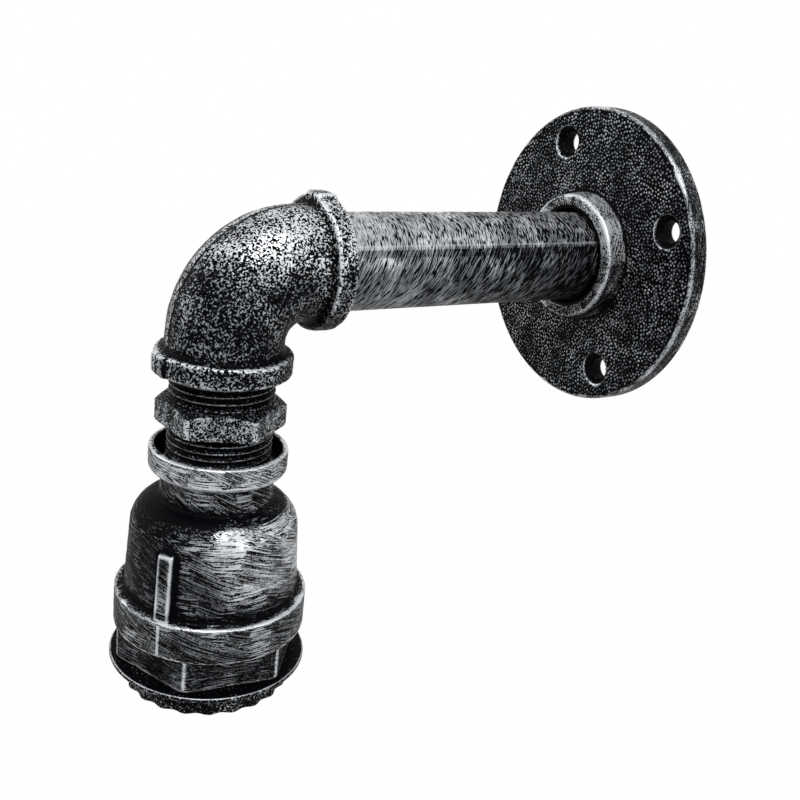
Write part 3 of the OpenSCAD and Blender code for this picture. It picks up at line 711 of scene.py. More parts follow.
# %% [markdown]
# Every piece ends in the same way: it gets its material, rides on the body that carries it,
# and takes the place of a plain solid of the frame.

# %% Finish a piece
def finish_piece(obj, material, body, node=None):
    """Gives a piece its material, its body and the node that it stands for."""
    if material:
        obj.data.materials.clear()
        obj.data.materials.append(material)
    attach(obj, body)
    if node:
        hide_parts(node)


# %% [markdown]
# The elbow is one casting: a quarter bend of tube with a thick band round each mouth, and a lug
# on each band where the two halves of the mould met. Its outline is carried along a bent axis:
# straight at both ends and a quarter circle between them. The lugs are pushed out of the bands
# on the outer side of the bend.

# %% Elbow
ELBOW_BEND = 18.0
ELBOW_REACH = 26.2
ELBOW_TUBE = 14.5
ELBOW_BORE = 11.5
BAND_OUT = 16.95
BAND_W = 5.4
LUG_H = 0.7
LUG_HALF_W = 3.0
BAND_ROUND = 0.9
BAND_FILLET = 1.2
THREAD_OUT = 13.2
THREAD_IN = 10.4
PIPE_OUT = 12.55
PLAY = 0.2
STRAIGHT = ELBOW_REACH - ELBOW_BEND
ELBOW_LENGTH = 2 * STRAIGHT + ELBOW_BEND * math.pi / 2


def on_elbow(along, out, turn):
    """Place round the elbow's bent axis: along starts at the drop's face."""
    bend = np.clip((along - STRAIGHT) / ELBOW_BEND, 0, math.pi / 2)
    past = np.maximum(along - STRAIGHT - ELBOW_BEND * math.pi / 2, 0)
    short = np.minimum(along, STRAIGHT)
    y = DROP_Y + ELBOW_BEND * (1 - np.cos(bend)) + past
    z = -ELBOW_REACH + short + ELBOW_BEND * np.sin(bend)
    outward = out * np.cos(turn)
    return out * np.sin(turn), y - outward * np.cos(bend), z + outward * np.sin(bend)


def with_lugs(along, out, turn):
    """Pushes the two lugs out of the bands on the mould's parting line."""
    from_face = np.minimum(along, ELBOW_LENGTH - along)
    across = np.abs(BAND_OUT * np.sin(turn))
    window = smooth_step(LUG_HALF_W + 0.3, LUG_HALF_W - 0.2, across) * (np.cos(turn) > 0)
    window = window * smooth_step(BAND_W + 0.9, BAND_W - 0.1, from_face) * (out > BAND_OUT - 1.5)
    flat = (BAND_OUT + LUG_H) / np.maximum(np.cos(turn), 0.5)
    return out + (flat - BAND_OUT) * window


print("the elbow's bent axis is", round(ELBOW_LENGTH, 1), "mm long")


# %% Elbow's skin
arm_band = ELBOW_LENGTH - BAND_W
arm_thread = ELBOW_LENGTH - THREAD_IN
elbow_outline = np.concatenate([
    path([(0, THREAD_OUT + PLAY, 0), (0, BAND_OUT, BAND_ROUND), (BAND_W, BAND_OUT, BAND_ROUND),
          (BAND_W, ELBOW_TUBE, BAND_FILLET), (arm_band, ELBOW_TUBE, BAND_FILLET),
          (arm_band, BAND_OUT, BAND_ROUND), (ELBOW_LENGTH, BAND_OUT, BAND_ROUND),
          (ELBOW_LENGTH, PIPE_OUT + PLAY, 0)], 0.36),
    path([(ELBOW_LENGTH, PIPE_OUT + PLAY, 0), (arm_thread, PIPE_OUT + PLAY, 0),
          (arm_thread, ELBOW_BORE, 0), (THREAD_IN, ELBOW_BORE, 0),
          (THREAD_IN, THREAD_OUT + PLAY, 0), (0, THREAD_OUT + PLAY, 0)], 2.0)[1:-1]])
elbow = spun("elbow_casting", elbow_outline, even_turns(280), on_elbow, with_lugs)
roughen(elbow, 0.1, 2.6)
mark_wear(elbow)


# %% [markdown]
# On the elbow the brush left more silver on the lips of the bands and in a strip beside the
# parting line. High up, on the side towards the key lamp, the silver is fuller as a painted
# highlight. A dark line of painted shadow runs along the parting line, where the mould's halves
# meet in a small step, painted shade lies on the side of the lower lug, and the inside of the
# bend is darker.

# %% Silver on the elbow
def elbow_touch_and_painted_light(x, y, z):
    """Painted highlight high up, painted shade on parting line and lug, less in the bend, a light
    strip.
    """
    bend_y = DROP_Y + ELBOW_BEND
    bend_z = STRAIGHT - ELBOW_REACH
    from_bend = np.hypot(np.minimum(y - bend_y, 0), np.maximum(z - bend_z, 0))
    outer = smooth_step(ELBOW_BEND + 8, ELBOW_BEND + 12, from_bend)
    strip = smooth_step(-3.2, -2.8, x) * smooth_step(0, -0.3, x) * outer
    # Painted shadow of the small step along the parting line.
    line = smooth_step(0.45, 0.1, np.abs(x)) * outer
    # Painted highlight: more silver high up, on the side towards the key lamp.
    upper = smooth_step(-6, 12, z) * smooth_step(-2, 5, x)
    # Painted shade on the side of the lower lug.
    lug_side_shade = smooth_step(2.0, 2.7, x) * smooth_step(4.2, 3.4, x) * (z < -20) * (y < DROP_Y - 15)
    low_lip = smooth_step(0.8, 0.3, np.abs(z + ELBOW_REACH - BAND_W)) \
        * (np.hypot(x, y - DROP_Y) > BAND_OUT - 0.9)
    arm_lip = smooth_step(0.8, 0.3, np.abs(y - DROP_Y - ELBOW_REACH + BAND_W)) \
        * (np.hypot(x, z) > BAND_OUT - 0.9)
    low_band = 0.015 * (z < BAND_W - ELBOW_REACH)
    silver = 0.075 * upper + 0.05 * strip + 0.05 * (low_lip + arm_lip) + low_band - 0.02
    return silver - 0.08 * smooth_step(10, 5, from_bend) - 0.25 * line - 0.12 * lug_side_shade


mark_touch_and_painted_light(elbow, elbow_touch_and_painted_light)
finish_piece(elbow, elbow_paint, "swivel_part", "elbow")

# %% [markdown]
# The arm is a length of welded steel tube. Its long weld shows as a faint ridge along the side,
# where the two edges of the strip were pressed together, so the outline is pushed out a little
# at that turn.

# %% Arm pipe
PIPE_BACK = 1.5
PIPE_FRONT = 101.9
PIPE_BORE = 10.45
WELD_TURN = math.radians(30)
WELD_W = 1.3
WELD_H = 0.12
PIPE_EDGE = 0.5


def with_weld(along, out, turn):
    """Raises the pipe's long weld on the outer wall."""
    across = np.abs((turn - WELD_TURN + math.pi) % math.tau - math.pi) * PIPE_OUT
    return out + WELD_H * np.exp(-(across / WELD_W * 2) ** 2) * (out > PIPE_OUT - 1)


pipe_outline = np.concatenate([
    path([(PIPE_BACK, PIPE_BORE, 0), (PIPE_BACK, PIPE_OUT, PIPE_EDGE),
          (PIPE_FRONT, PIPE_OUT, PIPE_EDGE), (PIPE_FRONT, PIPE_BORE, 0)], 0.8),
    path([(PIPE_FRONT, PIPE_BORE, 0), (PIPE_BACK, PIPE_BORE, 0)], 3.0)[1:-1]])
pipe = spun("arm_pipe_brushed", pipe_outline, even_turns(200), on_arm, with_weld)
roughen(pipe, 0.03, 4.0)
mark_wear(pipe)
finish_piece(pipe, pipe_paint, "wall_part", "arm_pipe")

# %% [markdown]
# The floor flange is a thick disc with a screwed collar. The four screw holes are cut with a
# Boolean modifier: it takes away everything inside a cutter, here four shafts with countersunk
# mouths. The result is turned into a plain mesh straight away, before its wear is measured.

# %% Sizes of the flange
FLANGE_OUT = 42.5
FLANGE_T = 5.5
BACK_ROUND = 0.5
RIM_ROUND = 0.9
COLLAR_OUT = 17.75
COLLAR_FRONT = 11.6
COLLAR_FOOT = 18.55
COLLAR_ROUND = 1.0
COLLAR_MOUTH = 1.15
COLLAR_MOUTH_DEPTH = 2.2
HOLE_CIRCLE = 33.75
HOLE_R = 3.1
HOLE_MOUTH_R = 4.8
HOLE_MOUTH_DEPTH = 1.6
FIRST_HOLE = 90 + 23.6
HOLE_TURNS = [math.radians(FIRST_HOLE + 90 * i) for i in range(4)]
print("screw holes", round(2 * HOLE_CIRCLE * math.sin(math.pi / 4), 1), "mm apart")


# %% Cutters for the holes
def join(name, objects):
    """One object that holds the meshes of several, which are removed."""
    work = bmesh.new()
    for obj in objects:
        work.from_mesh(obj.data)
        bpy.data.objects.remove(obj)
    mesh = bpy.data.meshes.new(name)
    work.to_mesh(mesh)
    work.free()
    mesh.shade_smooth()
    return new_object(name, mesh)


def bake(obj):
    """Replaces an object's mesh by what its modifiers make of it, and removes them."""
    graph = bpy.context.evaluated_depsgraph_get()
    mesh = bpy.data.meshes.new_from_object(obj.evaluated_get(graph), depsgraph=graph)
    obj.modifiers.clear()
    obj.data = mesh


def hole_place(hole):
    """Place round one screw hole's axis: along is the distance from the wall."""
    def place(along, out, turn):
        return (HOLE_CIRCLE * math.cos(hole) + out * np.cos(turn), -along,
                HOLE_CIRCLE * math.sin(hole) + out * np.sin(turn))
    return place


cutter_outline = path([(-1, 0, 0), (-1, HOLE_R, 0), (FLANGE_T - HOLE_MOUTH_DEPTH, HOLE_R, 0),
                       (FLANGE_T, HOLE_MOUTH_R, 0), (FLANGE_T + 1, HOLE_MOUTH_R, 0),
                       (FLANGE_T + 1, 0, 0)], 0.5)
cutter = join("hole_cutters", [spun("hole_cutter", cutter_outline, even_turns(56), hole_place(t))
                               for t in HOLE_TURNS])
print("the cutters have", len(cutter.data.polygons), "faces")

# %% Flange with its screw holes
FINE_TURNS = 14
hole_half = 6.0 / HOLE_CIRCLE
near_holes = [t + hole_half * (i / FINE_TURNS)
              for t in HOLE_TURNS for i in range(-FINE_TURNS, FINE_TURNS + 1)]
flange_outline = np.concatenate([
    path([(0, PIPE_OUT + PLAY, 0), (0, FLANGE_OUT - 1, 0)], 1.5)[:-1],
    path([(0, FLANGE_OUT - 1, 0), (0, FLANGE_OUT, BACK_ROUND), (FLANGE_T, FLANGE_OUT, RIM_ROUND),
          (FLANGE_T, FLANGE_OUT - 2, 0)], 0.3)[:-1],
    path([(FLANGE_T, FLANGE_OUT - 2, 0), (FLANGE_T, HOLE_CIRCLE, 0)], 0.8),
    path([(FLANGE_T, HOLE_CIRCLE, 0), (FLANGE_T, COLLAR_FOOT, RIM_ROUND),
          (COLLAR_FRONT, COLLAR_OUT, COLLAR_ROUND), (COLLAR_FRONT, PIPE_OUT + COLLAR_MOUTH, 0.2),
          (COLLAR_FRONT - COLLAR_MOUTH_DEPTH, PIPE_OUT + PLAY, 0),
          (0, PIPE_OUT + PLAY, 0)], 0.45)[1:-1]])
flange = spun("flange_casting", flange_outline, even_turns(240, near_holes), on_arm)
cut = flange.modifiers.new("screw holes", "BOOLEAN")
cut.operation = "DIFFERENCE"
cut.solver = "EXACT"
cut.object = cutter
bake(flange)
bpy.data.objects.remove(cutter)
mark_wear(flange)


# %% [markdown]
# The brush hardly touched the flange's face between the pebbles. It caught the collar, and
# the edge of each screw hole's mouth carries a line of silver on its lower left, the side that
# faces the lamp, partly as a painted highlight. The collar's side towards the key lamp is lighter
# as a painted highlight, and painted shade lies in the collar's mouth round the pipe. The back
# has a few flecks, and none next to the pipe.

# %% Silver on the flange
def flange_touch_and_painted_light(x, y, z):
    """Bare between pebbles, a little on the back, painted light on collar and mouths, shade at the
    pipe.
    """
    out = np.hypot(x, z)
    face = (out > COLLAR_FOOT + 1) & (out < FLANGE_OUT - 1)
    front = smooth_step(COLLAR_FRONT - 0.8, COLLAR_FRONT - 0.2, -y)
    # Painted highlight on the collar's side that faces the key lamp.
    brushed = smooth_step(11, 17, 0.6 * x + 0.8 * z) * (out < COLLAR_FOOT + 0.8) * (y < -6)
    mouth = 0
    for t in HOLE_TURNS:
        right, rise = x - HOLE_CIRCLE * math.cos(t), z - HOLE_CIRCLE * math.sin(t)
        from_axis = np.hypot(right, rise)
        line = smooth_step(0.8, 0.3, np.abs(from_axis - HOLE_MOUTH_R))
        # Edge line of each mouth, kept to the side that faces the lamp: wear and painted highlight.
        mouth = mouth + line * smooth_step(2, -4, right + rise)
        mouth = mouth - 2 * smooth_step(HOLE_MOUTH_R - 0.5, HOLE_MOUTH_R - 1, from_axis)
    back = smooth_step(-0.6, -0.2, y) * (1.1 * smooth_step(19, 15, out) - 0.1)
    # Painted shade in the collar's mouth round the pipe.
    chamfer = smooth_step(PIPE_OUT + 2.0, PIPE_OUT + 1.7, out)
    silver = 0.12 * mouth * (y < -FLANGE_T / 2) + 0.03 * front + 0.08 * brushed
    return silver - 0.1 * face - 0.3 * back - 0.2 * chamfer


mark_touch_and_painted_light(flange, flange_touch_and_painted_light)
finish_piece(flange, flange_paint, "wall_part", "wall_flange")

# %% [markdown]
# What repeats is made by Geometry Nodes. A tree is like a small machine: a mesh goes in at one
# end with a few named values, and another mesh comes out. Three helpers start a tree with its
# named inputs, end it with real geometry and a finish, and run it on a piece. Two more serve
# the trees that work round an axis: one measures where a point is, the other presses it in.

# %% Helpers for trees
def new_tree(name, inputs):
    """An empty Geometry Nodes tree with its group sockets."""
    tree = bpy.data.node_groups.new(name, "GeometryNodeTree")
    tree.interface.new_socket("Geometry", in_out="INPUT", socket_type="NodeSocketGeometry")
    for label, kind in inputs:
        tree.interface.new_socket(label, in_out="INPUT", socket_type="NodeSocket" + kind)
    tree.interface.new_socket("Geometry", in_out="OUTPUT", socket_type="NodeSocketGeometry")
    return tree


def run_tree(obj, tree, values):
    """Runs a tree on an object with named input values, and keeps the result as a mesh."""
    modifier = obj.modifiers.new(tree.name, "NODES")
    modifier.node_group = tree
    for item in tree.interface.items_tree:
        if item.in_out == "INPUT" and item.name in values:
            modifier[item.identifier] = values[item.name]
    bake(obj)


def end_tree(tree, geometry, material):
    """Ends a tree: real geometry, the material and the output."""
    real = put(tree, "GeometryNodeRealizeInstances", {0: geometry})
    painted = put(tree, "GeometryNodeSetMaterial", {"Geometry": real, "Material": material})
    put(tree, "NodeGroupOutput", {0: painted})


def round_axis(tree, axis):
    """Height, turn and vector outwards of each point, about an upright axis."""
    place = put(tree, "GeometryNodeInputPosition")
    from_axis = put(tree, "ShaderNodeVectorMath", {0: place, 1: axis}, operation="SUBTRACT")
    parts = put(tree, "ShaderNodeSeparateXYZ", {0: from_axis})
    turn = put(tree, "ShaderNodeMath", {0: parts.outputs["Y"], 1: parts.outputs["X"]},
               operation="ARCTAN2")
    outward = put(tree, "ShaderNodeVectorMath", {0: from_axis, 1: (1, 1, 0)},
                  operation="MULTIPLY")
    return parts.outputs["Z"], turn, outward


def press_in(tree, geometry, outward, depth, **limits):
    """Moves points towards the axis by a depth: all of them, or those of a Selection."""
    inward = put(tree, "ShaderNodeMath", {0: depth, 1: -1.0}, operation="MULTIPLY")
    unit = put(tree, "ShaderNodeVectorMath", {0: outward}, operation="NORMALIZE")
    shift = put(tree, "ShaderNodeVectorMath", {0: unit, "Scale": inward}, operation="SCALE")
    return put(tree, "GeometryNodeSetPosition", {"Geometry": geometry, "Offset": shift, **limits})


# %% [markdown]
# The flange's face is pebbled: the mould leaves it covered with small round grains, about a
# millimetre apart, in a loose order. The tree picks the face by its direction and by its
# distance from the axis, which leaves out the walls of the screw holes as well. It spreads
# points there so that none comes closer to its neighbour than a set distance, puts a flattened
# bead of its own size and turn on each, and makes one real mesh of the copies.

# %% Pebbles by Geometry Nodes
PEBBLE_PITCH = 0.84
PEBBLE_R = 0.47
PEBBLE_H = 0.24
PEBBLE_LEAST = 0.75
PEBBLE_MOST = 1.15
PEBBLE_DENSITY = 6e6
FACING_OUT = -0.97

tree = new_tree("pebbled_face", [("Pitch", "Float"), ("Bead Radius", "Float"),
                                 ("Bead Height", "Float"), ("Inner", "Float"),
                                 ("Outer", "Float"), ("Seed", "Int"), ("Finish", "Material")])
group = put(tree, "NodeGroupInput")
normal = put(tree, "ShaderNodeSeparateXYZ", {0: put(tree, "GeometryNodeInputNormal")})
front = put(tree, "FunctionNodeCompare", {0: normal.outputs["Y"], 1: FACING_OUT},
            operation="LESS_THAN")
place = put(tree, "GeometryNodeInputPosition")
flat = put(tree, "ShaderNodeVectorMath", {0: place, 1: (1, 0, 1)}, operation="MULTIPLY")
out = put(tree, "ShaderNodeVectorMath", {0: flat}, operation="LENGTH").outputs["Value"]
beyond = put(tree, "FunctionNodeCompare", {0: out, 1: group.outputs["Inner"]},
             operation="GREATER_THAN")
within = put(tree, "FunctionNodeCompare", {0: out, 1: group.outputs["Outer"]},
             operation="LESS_THAN")
face = put(tree, "FunctionNodeBooleanMath", {0: front, 1: beyond}, operation="AND")
face = put(tree, "FunctionNodeBooleanMath", {0: face, 1: within}, operation="AND")
points = put(tree, "GeometryNodeDistributePointsOnFaces",
             {"Mesh": group.outputs["Geometry"], "Selection": face,
              "Distance Min": group.outputs["Pitch"], "Density Max": PEBBLE_DENSITY,
              "Seed": group.outputs["Seed"]}, distribute_method="POISSON")
bead = put(tree, "GeometryNodeMeshIcoSphere", {"Radius": group.outputs["Bead Radius"],
                                               "Subdivisions": 1})
height = put(tree, "ShaderNodeMath", {0: group.outputs["Bead Height"],
                                      1: group.outputs["Bead Radius"]}, operation="DIVIDE")
squash = put(tree, "ShaderNodeCombineXYZ", {"X": 1.0, "Y": height, "Z": 1.0})
size = put(tree, "FunctionNodeRandomValue", {2: PEBBLE_LEAST, 3: PEBBLE_MOST, "Seed": 3})
scale = put(tree, "ShaderNodeVectorMath", {0: squash, "Scale": size.outputs[1]},
            operation="SCALE")
spin = put(tree, "FunctionNodeRandomValue", {0: (0, 0, 0), 1: (0, math.tau, 0), "Seed": 5},
           data_type="FLOAT_VECTOR")
beads = put(tree, "GeometryNodeInstanceOnPoints", {"Points": points, "Instance": bead,
                                                   "Rotation": spin.outputs[0],
                                                   "Scale": scale})
end_tree(tree, beads, group.outputs["Finish"])
print("the tree of the pebbles has", len(tree.nodes), "nodes")

# %% Pebbled face
FACE_INNER = 19.2
FACE_OUTER = 41.2

pebbles = new_object("flange_pebbles", flange.data.copy())
run_tree(pebbles, tree, {"Pitch": PEBBLE_PITCH * MM, "Bead Radius": PEBBLE_R * MM,
                         "Bead Height": PEBBLE_H * MM, "Inner": FACE_INNER * MM,
                         "Outer": FACE_OUTER * MM, "Seed": 7, "Finish": pebble_paint})
pebbles.data.shade_smooth()
print("pebbles:", len(pebbles.data.polygons) // 20)
finish_piece(pebbles, None, "wall_part")

# %% [markdown]
# A screw thread is one ridge that climbs by its pitch in each turn. On a finely divided barrel
# a tree can press it in: it takes each point's turn about the axis and its height, and the
# phase of the two gives the depth. The same tree makes the sharp pipe thread of the nipple, the
# round moulded thread of the lampholder and the rolled thread of the brass shell.

# %% Threads by Geometry Nodes
tree = new_tree("screw_thread", [("Axis", "Vector"), ("Pitch", "Float"), ("Depth", "Float"),
                                 ("Roundness", "Float"), ("Finish", "Material")])
group = put(tree, "NodeGroupInput")
height, turn, outward = round_axis(tree, group.outputs["Axis"])
turns = put(tree, "ShaderNodeMath", {0: turn, 1: math.tau}, operation="DIVIDE")
climb = put(tree, "ShaderNodeMath", {0: height, 1: group.outputs["Pitch"]}, operation="DIVIDE")
phase = put(tree, "ShaderNodeMath", {0: climb, 1: turns}, operation="SUBTRACT")
zigzag = put(tree, "ShaderNodeMath", {0: phase, 1: 0.5}, operation="PINGPONG")
sharp = put(tree, "ShaderNodeMath", {0: zigzag, 1: 2.0}, operation="MULTIPLY")
soft = put(tree, "ShaderNodeMapRange", {"Value": sharp}, interpolation_type="SMOOTHSTEP")
shape = put(tree, "ShaderNodeMix", {0: group.outputs["Roundness"], 2: sharp, 3: soft})
zone = put(tree, "GeometryNodeInputNamedAttribute", {"Name": "thread"}, data_type="FLOAT")
depth = put(tree, "ShaderNodeMath", {0: shape.outputs[0], 1: zone}, operation="MULTIPLY")
depth = put(tree, "ShaderNodeMath", {0: depth, 1: group.outputs["Depth"]}, operation="MULTIPLY")
cut = press_in(tree, group.outputs["Geometry"], outward, depth)
end_tree(tree, cut, group.outputs["Finish"])
thread_tree = tree
print("the tree of the threads has", len(tree.nodes), "nodes")


# %% [markdown]
# The tree works only on the points that an attribute named thread marks. A helper marks them:
# those at the barrel's distance from the axis and between two heights, with a run-out at both
# ends where the thread fades away.

# %% Cutting a thread
FADE_SHARE = 0.6
BARREL_REACH = 0.55


def cut_thread(obj, zones, barrel, pitch, depth, roundness, finish):
    """Cuts a thread on the barrel between heights (low, high), with sizes in mm."""
    x, y, z = (point_values(obj.data, "co") / MM).T
    out = np.hypot(x, y - DROP_Y)
    fade = pitch * FADE_SHARE
    share = np.zeros(len(z))
    for low, high in zones:
        zone = smooth_step(low, low + fade, z) * smooth_step(high, high - fade, z)
        share = np.maximum(share, zone)
    share = share * (np.abs(out - barrel) < BARREL_REACH)
    write_attribute(obj.data, "thread", share)
    run_tree(obj, thread_tree, {"Axis": (0, DROP_Y * MM, 0), "Pitch": pitch * MM,
                                "Depth": depth * MM, "Roundness": roundness, "Finish": finish})
    turns = sum(high - low for low, high in zones) / pitch
    print(obj.name, "has", round(turns, 1), "turns of thread")


# %% [markdown]
# The nipple joins the elbow and the bell: a tube with a pipe thread at both ends and a
# hexagon between them for the wrench. The hexagon starts as a round collar, and each of its
# points is pulled in to the nearest flat, which leaves the curved lines of the chamfer on the
# corners by itself.

# %% Sizes of the nipple
NIPPLE_TOP = -18.0
NIPPLE_HEX_TOP = -33.4
NIPPLE_HEX_LOW = -39.8
NIPPLE_LOW = -59.0
NIPPLE_BORE = 9.8
NIPPLE_FLATS = 28.6
NIPPLE_CORNER = math.radians(6)
NIPPLE_THREAD_LOW = -55.0
CORNER_LOSS = 0.25
PIPE_PITCH = 1.814
PIPE_THREAD_DEPTH = 1.0
RECESS_FLOOR = -50.5
corner_out = NIPPLE_FLATS / 2 / math.cos(math.pi / 6) - CORNER_LOSS
flat_out = NIPPLE_FLATS / 2 - CORNER_LOSS
chamfer_drop = (corner_out - flat_out) * math.tan(math.pi / 6)
print("the chamfer drops by", round(chamfer_drop, 2), "mm to the corners")


def with_nipple_hexagon(along, out, turn):
    """Pulls the collar in to the hexagon's flats."""
    on_hexagon = (along < NIPPLE_HEX_TOP + 0.01) & (along > NIPPLE_HEX_LOW - 0.01)
    flats = smooth_min(out, hexagon_out(turn, NIPPLE_FLATS, NIPPLE_CORNER), 0.25)
    return np.where(on_hexagon & (out > THREAD_OUT + 0.3), np.maximum(flats, THREAD_OUT), out)


# %% Hexagon nipple
nipple_outline = np.concatenate([
    path([(NIPPLE_TOP, NIPPLE_BORE, 0), (NIPPLE_TOP, THREAD_OUT, 0.5),
          (-ELBOW_REACH + 1, THREAD_OUT, 0)], 1.0)[:-1],
    path([(-ELBOW_REACH + 1, THREAD_OUT, 0), (NIPPLE_HEX_TOP, THREAD_OUT, 0)], 0.15)[:-1],
    path([(NIPPLE_HEX_TOP, THREAD_OUT, 0), (NIPPLE_HEX_TOP, flat_out, 0.1),
          (NIPPLE_HEX_TOP - chamfer_drop, corner_out, 0.3),
          (NIPPLE_HEX_LOW, corner_out, 0.5), (NIPPLE_HEX_LOW, THREAD_OUT, 0)], 0.25)[:-1],
    path([(NIPPLE_HEX_LOW, THREAD_OUT, 0), (RECESS_FLOOR - 0.5, THREAD_OUT, 0)], 0.15)[:-1],
    path([(RECESS_FLOOR - 0.5, THREAD_OUT, 0), (NIPPLE_LOW, THREAD_OUT, 0.5),
          (NIPPLE_LOW, NIPPLE_BORE, 0), (NIPPLE_TOP, NIPPLE_BORE, 0)], 1.5)[:-1]])
hex_corners = [NIPPLE_CORNER + i * math.pi / 3 + d for i in range(6) for d in (-0.008, 0, 0.008)]
nipple = spun("nipple_casting", nipple_outline, even_turns(240, hex_corners), on_drop,
              with_nipple_hexagon)
cut_thread(nipple, [(NIPPLE_HEX_TOP + 0.1, 3 - ELBOW_REACH),
                    (NIPPLE_THREAD_LOW, NIPPLE_HEX_LOW - 0.1)],
           THREAD_OUT, PIPE_PITCH, PIPE_THREAD_DEPTH, 0.3, nipple_paint)
mark_wear(nipple)


# %% [markdown]
# The flats of the hexagon and its corners took silver. The threads and the cone of the chamfer
# lie deeper, so they stayed nearly black.

# %% Silver on the nipple
def corner_line(x, y, corner, half_width):
    """1 on the corners of a hexagon round the drop, 0 beyond a half width in mm."""
    turn = np.arctan2(y - DROP_Y, x)
    from_corner = (turn - corner + math.pi / 6) % (math.pi / 3) - math.pi / 6
    return smooth_step(half_width, half_width / 2, np.abs(from_corner) * np.hypot(x, y - DROP_Y))


def nipple_touch(x, y, z):
    """Less silver in the threads and on the chamfer than on the flats, more on the corners."""
    threads = (z > NIPPLE_HEX_TOP + 0.1) | (z < NIPPLE_HEX_LOW - 0.1)
    past_flat = np.hypot(x, y - DROP_Y) - flat_out
    below_cone = NIPPLE_HEX_TOP - past_flat * math.tan(math.pi / 6) - z
    chamfer = smooth_step(0.2, 0.02, below_cone)
    corners = 0.03 * corner_line(x, y, NIPPLE_CORNER, 0.9)
    return np.where(threads, -0.1, corners * (1 - chamfer) - 0.05 * chamfer)


mark_touch_and_painted_light(nipple, nipple_touch)
finish_piece(nipple, nipple_paint, "swivel_part", "hex_nipple")

# %% [markdown]
# The bell is the casting that takes the most skill: a ring with an open recess, a filleted
# neck, a dome that runs into a slightly tapered wall, a rib on each side where the mould
# parted, a heavy band and a hexagon at the mouth. One outline holds the round body.

# %% Sizes of the bell
RING_TOP = -45.9
RING_LOW = -52.1
RING_OUT = 17.4
RECESS_OUT = 16.0
NECK_OUT = 14.3
NECK_FILLET = 1.2
DOME_R = 8.0
DOME_Z = -67.6
DOME_OUT = 21.4
SKIRTING_OUT = 22.4
GIRDLE_TOP = -85.0
GIRDLE_LOW = -94.6
GIRDLE_OUT = 24.8
MOUTH_Z = -103.6
MOUTH_OUT = 19.8
MOUTH_DEPTH = 3.0
WALL_T = 2.4
CAVITY_BEVEL = 4.3
CAVITY_RISE = 6.1
BELL_FLATS = 42.4
BELL_CORNER = math.radians(22)
RIB_TURNS = [math.radians(-54.6), math.radians(125.4)]
bell_corner_out = BELL_FLATS / 2 / math.cos(math.pi / 6) - CORNER_LOSS
dome_axis = DOME_OUT - DOME_R
fillet_axis = NECK_OUT + NECK_FILLET
fillet_rise = math.sqrt((DOME_R + NECK_FILLET) ** 2 - (fillet_axis - dome_axis) ** 2)
blend_angle = math.degrees(math.atan2(fillet_rise, fillet_axis - dome_axis))
print("the neck's fillet meets the dome at", round(blend_angle, 1), "degrees")


# %% [markdown]
# A reshaping function adds what isn't round. The ribs are flat-topped strips with parallel
# sides, cut off square at the top. A fine seam carries their line on over the band, and the
# mouth is pulled in to the six flats of a hexagon.

# %% Ribs, seam and hexagon
RIB_HALF_W = 1.85
RIB_H = 1.6
SEAM_HALF_W = 0.35
SEAM_H = 0.25


def with_ribs_and_hexagon(along, out, turn):
    """Adds the ribs and their seam to the bell, and pulls its mouth in to a hexagon."""
    flats = smooth_min(np.minimum(out, bell_corner_out),
                       hexagon_out(turn, BELL_FLATS, BELL_CORNER), 0.2)
    result = np.where((along < GIRDLE_LOW + 0.01) & (out > MOUTH_OUT + 0.8),
                      np.minimum(out, flats), out)
    for rib in RIB_TURNS:
        from_rib = (turn - rib + math.pi) % math.tau - math.pi
        across = np.abs(np.sin(from_rib)) * out
        front = np.cos(from_rib) > 0
        ahead = np.maximum(np.cos(from_rib), 0.5)
        down = (DOME_Z - along) / (DOME_Z - GIRDLE_TOP)
        rib_out = (DOME_OUT + RIB_H + (SKIRTING_OUT - DOME_OUT) * down) / ahead
        window = smooth_step(RIB_HALF_W + 0.12, RIB_HALF_W - 0.05, across)
        window = window * smooth_step(DOME_Z + 0.35, DOME_Z - 0.4, along)
        window = window * (along > GIRDLE_TOP - 0.3) * front * (out > MOUTH_OUT + 0.5)
        result = np.where(window > 0, np.maximum(result, out + (rib_out - out) * window), result)
        line = smooth_step(SEAM_HALF_W + 0.1, SEAM_HALF_W - 0.1, across)
        line = line * (along < GIRDLE_TOP - 0.7) * (along > GIRDLE_LOW + 0.7)
        result = result + SEAM_H * line * front * (out > GIRDLE_OUT - 0.3)
    return result


print("the ribs reach", DOME_OUT + RIB_H, "mm from the axis at the top")


